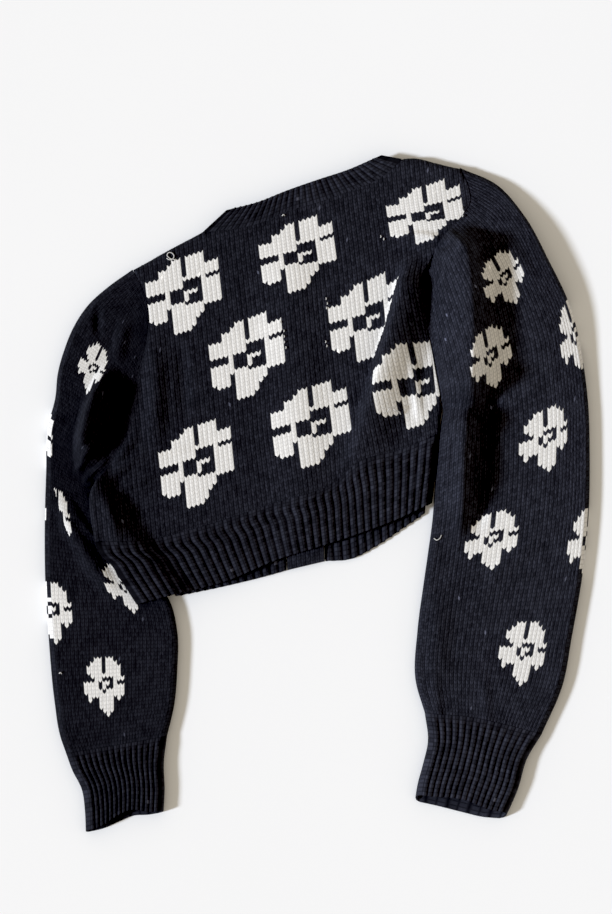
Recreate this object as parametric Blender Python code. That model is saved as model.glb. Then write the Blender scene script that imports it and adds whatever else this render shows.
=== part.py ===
"""Cropped knitted cardigan, laid flat on its front with the back up.

Lengths in the tables are millimetres, X to the right and Y towards the neck, with the table top at
Z = 0. Each cut piece is a wall between an outer and an inner face. A flat patch is drawn between the
seam lines, then lifted, rolled over at its folded edges, and pushed up into the folds.
"""

import math
from collections import namedtuple

import bmesh
import bpy
import numpy as np

MM = 0.001
SEAM_GAP = 0.45  # left between two sewn pieces

# Cloth
KNIT_WALL = 3.0  # stocking-stitch panels
RIB_WALL = 2.6  # ribbed bands, under the ribs
RIB_RAISE = 2.2  # how far each rib stands out
BAND_WALL = 2.6  # the two button bands
BODY_LOFT = 12.0  # table to the top of the flat body
SLEEVE_LOFT = 11.0  # table to the top of a flat sleeve
EDGE_ROLL = 5.4  # plan radius of a folded-over edge
ROLL_THINNING = 0.3  # share of its thickness that the wall loses on the outside of such an edge

# Ribs of each band, counted along its length
HEM_BACK_RIBS = 40
HEM_LEFT_RIBS = 14
HEM_RIGHT_RIBS = 13
NECK_RIBS = 25
NECK_FRONT_RIBS = 14
CUFF_RIBS = 13

# Buttons
BUTTON_COUNT = 5
BUTTON_SIDES = 14
BUTTON_RADIUS = 8.0
BUTTON_THICK = 2.2
BUTTON_RIM = 1.6
BUTTON_EASE = 23.0  # from a button's rim to where the band over it is back on the table
BUTTON_RAMP = 14.0  # length over which the band comes down from the button
BUTTON_FIRST = 0.10  # the first and the last button's places along the band
BUTTON_LAST = 0.94
BUTTON_DISH = 0.5  # how deep the middle of a button lies under its rim

# Folds push a panel up along a spine of three points. Lean moves the crest sideways, to the left of
# the spine's direction, so that it hangs over what lies there.
Fold = namedtuple("Fold", "on x0 y0 xm ym x1 y1 left right rise lean start end")
FOLDS = (
    # on             x0   y0    xm   ym    x1   y1  left right rise lean start end
    Fold("body", 20, -12, 66, 80, 101, 236, 20, 36, 20.0, 9.0, 0.55, 0.14),
    Fold("body", -166, 22, -160, 95, -166, 168, 15, 17, 5.0, 0.0, 0.40, 0.40),
    Fold("body", -134, 58, -132, 100, -140, 158, 12, 12, -2.6, 0.0, 0.40, 0.40),
    Fold("body", -11, -100, -20, 60, -34, 268, 42, 42, 3.4, 0.0, 0.04, 0.20),
    Fold("body", -214, 8, -206, -26, -196, -66, 10, 14, 3.6, 0.0, 0.45, 0.45),
    Fold("sleeve_right", 150, 78, 160, 190, 140, 270, 48, 26, 35.0, 1.0, 0.16, 0.16),
    Fold("sleeve_right", 136, -60, 154, 22, 143, 88, 28, 24, 22.0, 1.0, 0.45, 0.22),
    Fold("sleeve_right", 118, -215, 112, -150, 124, -90, 14, 22, 3.5, 0.0, 0.40, 0.40),
    Fold("sleeve_left", -228, 16, -243, 52, -203, 128, 14, 26, 26.0, 3.0, 0.30, 0.40),
    Fold("sleeve_left", -196, -112, -246, -46, -262, 8, 16, 12, 5.0, 2.0, 0.35, 0.35),
    Fold("sleeve_left", -206, 120, -199, 145, -192, 178, 10, 12, 3.0, 0.0, 0.40, 0.40),
)

# Swells are broad soft rises that the body and the sleeves share.
Swell = namedtuple("Swell", "x y radius_x radius_y rise")
SWELLS = (
    Swell(212, 215, 100, 160, 10.0),
    Swell(120, 240, 60, 90, 3.0),
    Swell(-238, 120, 70, 110, 3.0),
)

# Seam lines and folded edges, as x, y pairs. Side lines run from hem to shoulder.
ARMHOLE_LEFT = (
    (-222, 8), (-208, 24), (-194, 46), (-184, 86), (-178, 118), (-172, 140),
    (-169, 165), (-171, 187), (-177, 205), (-186, 221.5),
)
ARMHOLE_RIGHT = (
    (124, 82), (120, 105), (113, 145), (107, 185), (108, 215), (116, 238),
    (132, 262), (146, 278), (153, 290), (151, 306), (144, 324.5),
)
SIDE_LEFT = ((-222, -53), (-226, -32), (-228, -14), (-227, -2), (-222, 8))
SIDE_RIGHT = ((122, 56), (124, 82))
SHOULDER_LEFT = ((-186, 221.5), (-149, 243), (-113, 262))
SHOULDER_RIGHT = ((76, 326), (83, 334), (95, 336), (119, 331), (144, 324.5))
NECK_SEAM = (
    (-113, 262), (-88, 263), (-61, 268), (-31, 281), (0, 290), (30, 301), (61, 314), (76, 326),
)
NECK_EDGE = (
    (-117, 264), (-92, 282), (-61, 290), (-31, 302), (0, 313), (30, 323), (64, 338),
)
HEM_SEAM = (
    (-222, -53), (-174, -51), (-120, -38), (-49, -15), (14, 6), (41, 26), (85, 41), (122, 56),
)
HEM_EDGE = (
    (-180, -115), (-138, -104), (-93, -92), (-40, -70), (5, -56), (41, -44), (76, -31), (114, -13),
)
HEM_LEFT_END = ((-180, -115), (-197, -89), (-206, -75), (-217, -65), (-222, -53))
HEM_RIGHT_END = ((114, -13), (116.5, 8), (119.5, 32), (122, 56))

# The fronts lie on the table, under the back.
FRONT_LEFT_SIDE = ((-176, -62), (-189, -42), (-206, -13), (-216, 10))
FRONT_SHOULDER_LEFT = ((-182, 212), (-148, 232), (-114, 251))
FRONT_NECK_LEFT = ((-114, 251), (-104, 232), (-82, 214), (-62, 206), (-49, 204))
FRONT_HEM_SEAM_LEFT = ((-176, -62), (-120, -48), (-80, -36), (-34, -22))
FRONT_HEM_EDGE_LEFT = ((-142, -106), (-93, -96), (-52, -86), (-31, -80))
BAND_LEFT_LINE = ((-31, -80), (-34, -22), (-49, 204))
BAND_RIGHT_LINE = ((7, -71), (4, -8), (-11, 203))
FRONT_HEM_SEAM_RIGHT = ((4, -8), (50, 20), (86, 34), (113.5, 44.5))
FRONT_HEM_EDGE_RIGHT = ((7, -71), (32, -69), (58, -56), (85, -38), (107, -23))
FRONT_NECK_RIGHT = ((-11, 203), (14, 212), (40, 238), (62, 276), (74, 312))
FRONT_SHOULDER_RIGHT = ((74, 312), (88, 322), (114, 318), (138, 309))
FRONT_HEM_RIGHT_END = ((107, -23), (109, 5), (113.5, 44.5))
FRONT_RIGHT_SIDE = ((113.5, 44.5), (117, 64), (118, 84))
NECK_INNER_LEFT = ((-101, 262), (-90, 246), (-73, 231), (-54, 225), (-11, 223))
NECK_INNER_RIGHT = ((-11, 223), (4, 230), (24, 250), (44, 282), (58, 318))

# Sleeve edges run from the cuff seam up.
SLEEVE_LEFT_OUTER = (
    (-250, -262), (-256, -245), (-262, -210), (-268, -150), (-272, -93), (-273, -40),
    (-272, 17), (-270, 66), (-263, 90), (-260, 116), (-255, 140), (-247, 163), (-232, 186),
    (-211, 205), (-188, 221.5),
)
SLEEVE_LEFT_INNER = (
    (-150, -245), (-143, -215), (-140, -180), (-140, -140), (-147, -110), (-164, -86),
    (-190, -52), (-210, -20), (-223, 8),
)
SLEEVE_RIGHT_INNER = (
    (106, -222), (97, -190), (99, -140), (105, -95), (110, -68), (117, -25),
    (119, 5), (121.5, 32), (124, 58), (126.5, 83),
)
SLEEVE_RIGHT_OUTER = (
    (222, -243), (243, -195), (253, -145), (263, -90), (270, -30), (272, 40),
    (271, 85), (266, 130), (254, 185), (235, 230), (207, 279), (180, 309), (145, 325.5),
)
CUFF_LEFT_SEAM = ((-250, -262), (-202, -254), (-150, -245))
CUFF_LEFT_EDGE = ((-230, -338), (-213, -334), (-198, -327.5), (-183, -321.5), (-168, -320.5), (-153, -318))
CUFF_LEFT_OUTER = ((-230, -338), (-231, -318), (-234, -298), (-244, -278), (-250, -262))
CUFF_LEFT_INNER = ((-153, -318), (-152, -298), (-153, -272), (-150, -245))
CUFF_RIGHT_SEAM = ((106, -222), (157, -227), (196, -236), (222, -243))
CUFF_RIGHT_EDGE = ((97, -302), (120, -307), (144, -313), (165, -318), (188, -320))
CUFF_RIGHT_INNER = ((97, -302), (99, -290), (104, -272), (109, -250), (106, -222))
CUFF_RIGHT_OUTER = ((188, -320), (199, -295), (207, -268), (222, -243))

# Colours of the yarn and the buttons
NAVY = (0.013, 0.014, 0.024, 1.0)
HORN = (0.030, 0.022, 0.018, 1.0)


def smooth(value):
    """Runs from 0 to 1 with level ends."""
    value = np.clip(value, 0.0, 1.0)
    return value * value * (3.0 - 2.0 * value)


def curve(points, where, sharp=()):
    """Points at the given shares of a line's length. The line is smooth but for its sharp points."""
    points = np.array(points, float)
    knots = np.concatenate([[0.0], np.cumsum(np.linalg.norm(np.diff(points, axis=0), axis=1))])
    knots /= knots[-1]
    slopes = np.gradient(points, knots, axis=0) if len(points) > 2 else None
    where = np.clip(np.asarray(where, float), 0.0, 1.0)
    span = np.clip(np.searchsorted(knots, where, side="right") - 1, 0, len(points) - 2)
    width = (knots[span + 1] - knots[span])[:, None]
    t = ((where - knots[span])[:, None]) / width
    first, last = points[span], points[span + 1]
    if slopes is None:
        return first + t * (last - first)
    chord = (last - first) / width
    out = slopes[span].copy()
    into = slopes[span + 1].copy()
    for corner in sharp:
        out[span == corner] = chord[span == corner]
        into[span + 1 == corner] = chord[span + 1 == corner]
    a = 2 * t**3 - 3 * t**2 + 1
    b = t**3 - 2 * t**2 + t
    c = -2 * t**3 + 3 * t**2
    d = t**3 - t**2
    return a * first + b * width * out + c * last + d * width * into


def shares(*lines):
    """The share of the joined line's length at which each line ends, but for the last."""
    lengths = [np.linalg.norm(np.diff(np.array(line, float), axis=0), axis=1).sum() for line in lines]
    return np.cumsum(lengths)[:-1] / sum(lengths)


def joined(*lines):
    """One line through all the points of several that meet end to end."""
    points = list(lines[0])
    for line in lines[1:]:
        points += line[1:]
    return tuple(points)


Patch = namedtuple("Patch", "bottom top left right sharp_top sharp_bottom")


def patch_point(patch, s, v):
    """Plan points at share s across and v up a patch between four lines."""
    bottom = curve(patch.bottom, s, patch.sharp_bottom)
    top = curve(patch.top, s, patch.sharp_top)
    left = curve(patch.left, v)
    right = curve(patch.right, v)
    s = s[:, None]
    v = v[:, None]
    corners = (1 - v) * ((1 - s) * patch.bottom[0] + s * np.array(patch.bottom[-1], float))
    corners = corners + v * ((1 - s) * patch.top[0] + s * np.array(patch.top[-1], float))
    return (1 - v) * bottom + v * top + (1 - s) * left + s * right - corners


def spine_place(fold, x, y):
    """Signed distance from a fold's spine, positive on its right, and the share along the spine."""
    t = np.linspace(0.0, 1.0, 33)
    t = t[:, None]
    ends = np.array([[fold.x0, fold.y0], [fold.xm, fold.ym], [fold.x1, fold.y1]], float)
    spine = (1 - t) ** 2 * ends[0] + 2 * t * (1 - t) * ends[1] + t**2 * ends[2]
    steps = np.diff(spine, axis=0)
    lengths = np.linalg.norm(steps, axis=1)
    along = np.concatenate([[0.0], np.cumsum(lengths)])
    best = np.full(x.shape, np.inf)
    side = np.zeros(x.shape)
    share = np.zeros(x.shape)
    left_x = np.zeros(x.shape)
    left_y = np.zeros(x.shape)
    for index, step in enumerate(steps):
        unit = step / lengths[index]
        away_x = x - spine[index][0]
        away_y = y - spine[index][1]
        run = np.clip(away_x * unit[0] + away_y * unit[1], 0.0, lengths[index])
        off_x = away_x - run * unit[0]
        off_y = away_y - run * unit[1]
        distance = np.hypot(off_x, off_y)
        nearer = distance < best
        best = np.where(nearer, distance, best)
        turn = np.where(unit[0] * off_y - unit[1] * off_x > 0, -1.0, 1.0)
        side = np.where(nearer, turn * distance, side)
        share = np.where(nearer, (along[index] + run) / along[-1], share)
        left_x = np.where(nearer, -unit[1], left_x)
        left_y = np.where(nearer, unit[0], left_y)
    return side, share, left_x, left_y


def relief(x, y, owner):
    """Rise and sideways shift of the cloth at plan points, from the folds of one owner and the swells."""
    rise = np.zeros(x.shape)
    shift_x = np.zeros(x.shape)
    shift_y = np.zeros(x.shape)
    for swell in SWELLS:
        away = np.hypot((x - swell.x) / swell.radius_x, (y - swell.y) / swell.radius_y)
        rise = rise + swell.rise * smooth(1.0 - away)
    for fold in FOLDS:
        if fold.on != owner:
            continue
        side, share, left_x, left_y = spine_place(fold, x, y)
        width = np.where(side < 0, fold.left, fold.right)
        bump = 0.5 + 0.5 * np.cos(np.pi * np.clip(np.abs(side) / width, 0.0, 1.0))
        bump = bump * smooth(share / fold.start) * smooth((1.0 - share) / fold.end)
        rise = rise + fold.rise * bump
        shift_x = shift_x + fold.lean * bump * left_x
        shift_y = shift_y + fold.lean * bump * left_y
    return rise, shift_x, shift_y


# The left sleeve passes under the body's lower left corner, so the back is lifted over it.
TUCK_LINE = Fold("tuck", -233, 24, -206, -38, -140, -112, 1, 1, 0, 0, 1, 1)
TUCK_RAMP = 26.0
TUCK_FADE_FROM = 46.0
TUCK_FADE_RUN = 34.0


def tuck_lift(x, y):
    """How far the back stands off the table where the left sleeve lies under it."""
    side, _, _, _ = spine_place(TUCK_LINE, x, y)
    over = smooth((side + TUCK_RAMP) / (TUCK_RAMP + 2.0))
    fade = smooth((TUCK_FADE_FROM - y) / TUCK_FADE_RUN)
    return (SLEEVE_LOFT + 1.0 + relief(x, y, "sleeve_left")[0]) * over * fade


def lattice_normals(points, around):
    """Outward unit normals of a grid of points. around says that the columns close on themselves."""
    if around:
        across = np.roll(points, -1, axis=1) - np.roll(points, 1, axis=1)
    else:
        across = np.gradient(points, axis=1)
    along = np.gradient(points, axis=0)
    normals = np.cross(across, along)
    return normals / np.linalg.norm(normals, axis=2, keepdims=True)


def add_wall(bm, outer, inner, around):
    """Faces of a wall between two grids of points, with rims at the open edges."""
    rows, columns = outer.shape[:2]
    outer_verts = [[bm.verts.new(point * MM) for point in row] for row in outer]
    inner_verts = [[bm.verts.new(point * MM) for point in row] for row in inner]
    last = columns if around else columns - 1
    for r in range(rows - 1):
        for c in range(last):
            d = (c + 1) % columns
            bm.faces.new((outer_verts[r][c], outer_verts[r][d], outer_verts[r + 1][d], outer_verts[r + 1][c]))
            bm.faces.new((inner_verts[r + 1][c], inner_verts[r + 1][d], inner_verts[r][d], inner_verts[r][c]))
    for c in range(last):
        d = (c + 1) % columns
        bm.faces.new((inner_verts[0][c], inner_verts[0][d], outer_verts[0][d], outer_verts[0][c]))
        bm.faces.new((outer_verts[-1][c], outer_verts[-1][d], inner_verts[-1][d], inner_verts[-1][c]))
    if not around:
        for r in range(rows - 1):
            bm.faces.new((inner_verts[r][0], outer_verts[r][0], outer_verts[r + 1][0], inner_verts[r + 1][0]))
            bm.faces.new((outer_verts[r][-1], inner_verts[r][-1], inner_verts[r + 1][-1], outer_verts[r + 1][-1]))


def finish_object(name, bm, material, collection):
    mesh = bpy.data.meshes.new(name)
    bmesh.ops.recalc_face_normals(bm, faces=bm.faces)
    bmesh.ops.triangulate(bm, faces=bm.faces)
    bm.to_mesh(mesh)
    bm.free()
    mesh.materials.append(material)
    mesh.shade_smooth()
    mesh.set_sharp_from_angle(angle=math.radians(50))
    obj = bpy.data.objects.new(name, mesh)
    collection.objects.link(obj)
    return obj


def make_material(name, colour, roughness):
    material = bpy.data.materials.new(name)
    material.use_nodes = True
    shader = material.node_tree.nodes["Principled BSDF"]
    shader.inputs["Base Color"].default_value = colour
    shader.inputs["Roughness"].default_value = roughness
    shader.inputs["Metallic"].default_value = 0.0
    return material


# Turn steps over a folded edge, as shares of the half turn from its top to its underside
TURN = np.array([0.25, 0.5, 0.75, 1.0])


def stations(inside, low_turn, high_turn):
    """Share inside the flat run, and the turn at the low and the high edge, of each station."""
    flat = np.asarray(inside, float)
    low = TURN[::-1] if low_turn else np.zeros(0)
    high = TURN if high_turn else np.zeros(0)
    share = np.concatenate([np.zeros(len(low)), flat, np.ones(len(high))])
    low_at = np.concatenate([low, np.zeros(len(flat) + len(high))])
    high_at = np.concatenate([np.zeros(len(low) + len(flat)), high])
    return share, low_at, high_at


def edge_offset(turn, weight):
    """Distance from the edge, as a share of the roll, of a station turned over it by a weight."""
    return (1 - weight) * (1 - turn) + weight * (1 - np.sin(np.pi * turn))


def panel(patch, across, along, wrap, owner, loft, wall, lifted, raise_ribs=None, gaps=(0, 0, 0, 0)):
    """Outer and inner grids of a panel on top of the body.

    across and along are stations. wrap gives, for shares up and across, how far the left, right and
    top edges roll under. gaps keep the four edges off the seams, in the order left, right, bottom, top.
    """
    share_u, left_turn, right_turn = across
    share_v, _, top_turn = along
    rows = len(share_v)
    columns = len(share_u)
    u = np.tile(share_u, rows)
    v = np.repeat(share_v, columns)
    left_turn = np.tile(left_turn, rows)
    right_turn = np.tile(right_turn, rows)
    top_turn = np.repeat(top_turn, columns)
    weight_left = wrap["left"](v)
    weight_right = wrap["right"](v)
    weight_top = wrap["top"](u)
    ends = patch_point(patch, np.array([0.0, 1.0, 0.5, 0.5]), np.array([0.5, 0.5, 0.0, 1.0]))
    height = np.linalg.norm(ends[3] - ends[2])
    left_line = patch_point(patch, np.zeros(len(v)), v)
    right_line = patch_point(patch, np.ones(len(v)), v)
    width = np.linalg.norm(right_line - left_line, axis=1)
    roll_left = EDGE_ROLL if left_turn.any() else 0.0
    roll_right = EDGE_ROLL if right_turn.any() else 0.0
    roll_top = EDGE_ROLL if top_turn.any() else 0.0
    low = np.where(left_turn > 0, edge_offset(left_turn, weight_left) * roll_left, roll_left) + gaps[0]
    high = np.where(right_turn > 0, edge_offset(right_turn, weight_right) * roll_right, roll_right) + gaps[1]
    s = np.where(left_turn > 0, low / width, np.where(
        right_turn > 0, 1 - high / width, (low + u * (width - low - high)) / width))
    upper = np.where(top_turn > 0, edge_offset(top_turn, weight_top) * roll_top, roll_top) + gaps[3]
    t = np.where(top_turn > 0, 1 - upper / height, (gaps[2] + v * (height - gaps[2] - upper)) / height)
    plan = patch_point(patch, s, t)
    x, y = plan[:, 0], plan[:, 1]
    rise, shift_x, shift_y = relief(x, y, owner)
    side_turn = left_turn * weight_left + right_turn * weight_right
    stay = (0.5 + 0.5 * np.cos(np.pi * side_turn)) * (0.5 + 0.5 * np.cos(np.pi * top_turn * weight_top))
    lift = tuck_lift(x, y) if lifted else 0.0
    points = np.stack([x + shift_x * stay, y + shift_y * stay, lift + (loft + rise) * stay], axis=1)
    outer = points.reshape(rows, columns, 3)
    normals = lattice_normals(outer, around=False)
    rolled = np.maximum(side_turn, top_turn * weight_top).reshape(rows, columns, 1)
    inner = outer - wall * (1 - ROLL_THINNING * np.sin(np.pi * rolled)) * normals
    if raise_ribs is not None:
        outer = outer + raise_ribs(share_u)[None, :, None] * normals
    return outer, inner


def no_wrap(share):
    return np.zeros(np.shape(share))


def full_wrap(share):
    return np.ones(np.shape(share))


def below(limit, blend):
    """A wrap that ends at a share of the way up."""
    return lambda share: smooth((limit - share) / blend + 0.5)


def outside(first, second, blend):
    """A wrap on both sides of a stretch, and none in it."""
    return lambda share: smooth((first - share) / blend + 0.5) + smooth((share - second) / blend + 0.5)


def rib_wave(ribs):
    """Height of the ribs at shares along a band: its peaks lie half a rib in."""
    return lambda share: RIB_RAISE * (0.5 - 0.5 * np.cos(2 * np.pi * ribs * share))


def rib_stations(ribs, per_rib=2):
    return np.linspace(0.0, 1.0, ribs * per_rib + 1)


def spaced(counts, ends):
    """Stations from 0 to 1, evenly spaced inside each stretch between the ends."""
    parts = []
    start = 0.0
    for count, end in zip(counts, ends):
        parts.append(np.linspace(start, end, count, endpoint=False))
        start = end
    return np.concatenate(parts + [[1.0]])


def back_patch():
    left = joined(SIDE_LEFT, ARMHOLE_LEFT)
    right = joined(SIDE_RIGHT, ARMHOLE_RIGHT)
    top = joined(SHOULDER_LEFT, NECK_SEAM, SHOULDER_RIGHT)
    corners = (len(SHOULDER_LEFT) - 1, len(SHOULDER_LEFT) + len(NECK_SEAM) - 2)
    return Patch(HEM_SEAM, top, left, right, corners, ())


def make_back(collection, material):
    patch = back_patch()
    left_end = shares(SIDE_LEFT, ARMHOLE_LEFT)[0]
    right_end = shares(SIDE_RIGHT, ARMHOLE_RIGHT)[0]
    neck_from, neck_to = shares(SHOULDER_LEFT, NECK_SEAM, SHOULDER_RIGHT)
    wrap = {
        "left": below(left_end, 0.10),
        "right": below(right_end, 0.10),
        "top": outside(neck_from - 0.03, neck_to + 0.03, 0.06),
    }
    across = stations(spaced((10, 19), (0.60, 1.0)), True, True)
    along = stations(np.linspace(0.0, 1.0, 20), False, True)
    gaps = (SEAM_GAP, SEAM_GAP, SEAM_GAP, SEAM_GAP)
    outer, inner = panel(patch, across, along, wrap, "body", BODY_LOFT, KNIT_WALL, True, gaps=gaps)
    bm = bmesh.new()
    add_wall(bm, outer, inner, around=False)
    return finish_object("back", bm, material, collection)


def make_hem_back(collection, material):
    patch = Patch(HEM_EDGE, HEM_SEAM, HEM_LEFT_END, HEM_RIGHT_END, (), ())
    wrap = {"left": full_wrap, "right": full_wrap, "top": no_wrap}
    across = stations(rib_stations(HEM_BACK_RIBS), True, True)
    along = stations(np.linspace(0.0, 1.0, 4), False, False)
    gaps = (SEAM_GAP, SEAM_GAP, 0, SEAM_GAP)
    outer, inner = panel(
        patch, across, along, wrap, "body", BODY_LOFT, RIB_WALL, True, rib_wave(HEM_BACK_RIBS), gaps
    )
    bm = bmesh.new()
    add_wall(bm, outer, inner, around=False)
    return finish_object("hem_back", bm, material, collection)


def make_neckband(collection, material):
    left_end = (NECK_SEAM[0], NECK_EDGE[0])
    right_end = (NECK_SEAM[-1], NECK_EDGE[-1])
    patch = Patch(NECK_SEAM, NECK_EDGE, left_end, right_end, (), ())
    wrap = {"left": full_wrap, "right": full_wrap, "top": no_wrap}
    across = stations(rib_stations(NECK_RIBS), True, True)
    along = stations(np.linspace(0.0, 1.0, 3), False, False)
    gaps = (0, 0, SEAM_GAP, 0)
    outer, inner = panel(
        patch, across, along, wrap, "body", BODY_LOFT, RIB_WALL, False, rib_wave(NECK_RIBS), gaps
    )
    bm = bmesh.new()
    add_wall(bm, outer, inner, around=False)
    return finish_object("neckband", bm, material, collection)


def slab(patch, share_u, share_v, under, wall, gaps, raise_ribs=None):
    """Upper and lower grids of a piece that lies on the table, under(x, y) above it."""
    rows, columns = len(share_v), len(share_u)
    u = np.tile(share_u, rows)
    v = np.repeat(share_v, columns)
    ends = patch_point(patch, np.array([0.0, 1.0, 0.5, 0.5]), np.array([0.5, 0.5, 0.0, 1.0]))
    width = np.linalg.norm(ends[1] - ends[0])
    height = np.linalg.norm(ends[3] - ends[2])
    s = (gaps[0] + u * (width - gaps[0] - gaps[1])) / width
    t = (gaps[2] + v * (height - gaps[2] - gaps[3])) / height
    plan = patch_point(patch, s, t)
    floor = under(plan[:, 0], plan[:, 1])
    raised = raise_ribs(u) if raise_ribs is not None else 0.0
    upper = np.stack([plan[:, 0], plan[:, 1], floor + wall + raised], axis=1)
    lower = np.stack([plan[:, 0], plan[:, 1], floor], axis=1)
    return upper.reshape(rows, columns, 3), lower.reshape(rows, columns, 3)


def on_table(x, y):
    return np.zeros(np.shape(x))


def button_places():
    """Centres of the buttons, evenly spaced up the middle of the bands."""
    where = np.linspace(BUTTON_FIRST, BUTTON_LAST, BUTTON_COUNT)
    return 0.5 * (curve(BAND_LEFT_LINE, where) + curve(BAND_RIGHT_LINE, where))


def over_buttons(x, y):
    """The band rises over each button that lies under it."""
    rise = np.zeros(np.shape(x))
    for centre in button_places():
        away = np.hypot(x - centre[0], y - centre[1])
        top = BUTTON_THICK + SEAM_GAP
        rise = np.maximum(rise, top * smooth((BUTTON_RADIUS + BUTTON_EASE - away) / BUTTON_RAMP))
    return rise


def make_slab(name, collection, material, patch, share_u, share_v, gaps, under=on_table,
              wall=KNIT_WALL, ribs=None):
    raise_ribs = rib_wave(ribs) if ribs else None
    upper, lower = slab(patch, share_u, share_v, under, wall, gaps, raise_ribs)
    bm = bmesh.new()
    add_wall(bm, upper, lower, around=False)
    return finish_object(name, bm, material, collection)


def make_fronts(collection, knit, rib):
    left_gaps = (3 * SEAM_GAP, SEAM_GAP, SEAM_GAP, 2 * SEAM_GAP)
    right_gaps = (SEAM_GAP, 4 * SEAM_GAP, SEAM_GAP, 2 * SEAM_GAP)
    left_top = joined(FRONT_SHOULDER_LEFT, FRONT_NECK_LEFT)
    armhole_left = ((-216, 10),) + ARMHOLE_LEFT[1:-1] + (FRONT_SHOULDER_LEFT[0],)
    left = Patch(
        FRONT_HEM_SEAM_LEFT, left_top, joined(FRONT_LEFT_SIDE, armhole_left), BAND_LEFT_LINE[1:],
        (len(FRONT_SHOULDER_LEFT) - 1,), (),
    )
    make_slab("front_left", collection, knit, left, np.linspace(0, 1, 11), np.linspace(0, 1, 12), left_gaps)
    armhole_right = ((118, 84),) + ARMHOLE_RIGHT[1:-1] + (FRONT_SHOULDER_RIGHT[-1],)
    right = Patch(
        FRONT_HEM_SEAM_RIGHT, joined(FRONT_NECK_RIGHT, FRONT_SHOULDER_RIGHT), BAND_RIGHT_LINE[1:],
        joined(FRONT_RIGHT_SIDE, armhole_right), (len(FRONT_NECK_RIGHT) - 1,), (),
    )
    make_slab("front_right", collection, knit, right, np.linspace(0, 1, 13), np.linspace(0, 1, 12), right_gaps)
    hem_left = Patch(
        FRONT_HEM_EDGE_LEFT, FRONT_HEM_SEAM_LEFT, (FRONT_HEM_EDGE_LEFT[0], FRONT_HEM_SEAM_LEFT[0]),
        BAND_LEFT_LINE[:2], (), (),
    )
    make_slab(
        "hem_front_left", collection, rib, hem_left, rib_stations(HEM_LEFT_RIBS),
        np.linspace(0, 1, 4), (0, SEAM_GAP, 0, SEAM_GAP), wall=RIB_WALL, ribs=HEM_LEFT_RIBS,
    )
    hem_right = Patch(
        FRONT_HEM_EDGE_RIGHT, FRONT_HEM_SEAM_RIGHT, BAND_RIGHT_LINE[:2], FRONT_HEM_RIGHT_END, (), (),
    )
    make_slab(
        "hem_front_right", collection, rib, hem_right, rib_stations(HEM_RIGHT_RIBS),
        np.linspace(0, 1, 4), (SEAM_GAP, 0, 0, SEAM_GAP), wall=RIB_WALL, ribs=HEM_RIGHT_RIBS,
    )
    neck_left = Patch(
        joined(FRONT_NECK_LEFT, ((-49, 204), (-11, 203))), NECK_INNER_LEFT,
        (FRONT_NECK_LEFT[0], NECK_INNER_LEFT[0]), ((-11, 203), NECK_INNER_LEFT[-1]), (), (),
    )
    make_slab(
        "neckband_left", collection, rib, neck_left, rib_stations(NECK_FRONT_RIBS),
        np.linspace(0, 1, 3), (0, SEAM_GAP, SEAM_GAP, 0), wall=RIB_WALL, ribs=NECK_FRONT_RIBS,
    )
    neck_right = Patch(
        FRONT_NECK_RIGHT, NECK_INNER_RIGHT, (FRONT_NECK_RIGHT[0], NECK_INNER_RIGHT[0]),
        (FRONT_NECK_RIGHT[-1], NECK_INNER_RIGHT[-1]), (), (),
    )
    make_slab(
        "neckband_right", collection, rib, neck_right, rib_stations(NECK_FRONT_RIBS),
        np.linspace(0, 1, 3), (0, 0, SEAM_GAP, 0), wall=RIB_WALL, ribs=NECK_FRONT_RIBS,
    )


def make_bands(collection, material):
    patch = Patch(
        (BAND_LEFT_LINE[0], BAND_RIGHT_LINE[0]), (BAND_LEFT_LINE[-1], BAND_RIGHT_LINE[-1]),
        BAND_LEFT_LINE, BAND_RIGHT_LINE, (), (),
    )
    gaps = (SEAM_GAP, SEAM_GAP, 0, SEAM_GAP)
    share_u = np.linspace(0, 1, 5)
    share_v = np.linspace(0, 1, 31)

    def on_lower_band(x, y):
        return over_buttons(x, y) + BAND_WALL + SEAM_GAP

    make_slab("buttonhole_band", collection, material, patch, share_u, share_v, gaps, over_buttons, BAND_WALL)
    make_slab("button_band", collection, material, patch, share_u, share_v, gaps, on_lower_band, BAND_WALL)


def make_buttons(collection, material):
    for number, centre in enumerate(button_places(), start=1):
        bm = bmesh.new()
        made = bmesh.ops.create_cone(
            bm, cap_ends=True, segments=BUTTON_SIDES, radius1=BUTTON_RADIUS * MM, radius2=BUTTON_RADIUS * MM,
            depth=BUTTON_THICK * MM,
        )
        bmesh.ops.translate(bm, verts=made["verts"], vec=(0, 0, 0.5 * BUTTON_THICK * MM))
        top = [face for face in bm.faces if face.normal.z > 0.9]
        bmesh.ops.inset_region(bm, faces=top, thickness=BUTTON_RIM * MM)
        bmesh.ops.translate(bm, verts=top[0].verts[:], vec=(0, 0, -BUTTON_DISH * MM))
        button = finish_object(f"button_{number}", bm, material, collection)
        button.location = (centre[0] * MM, centre[1] * MM, 0)


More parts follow.
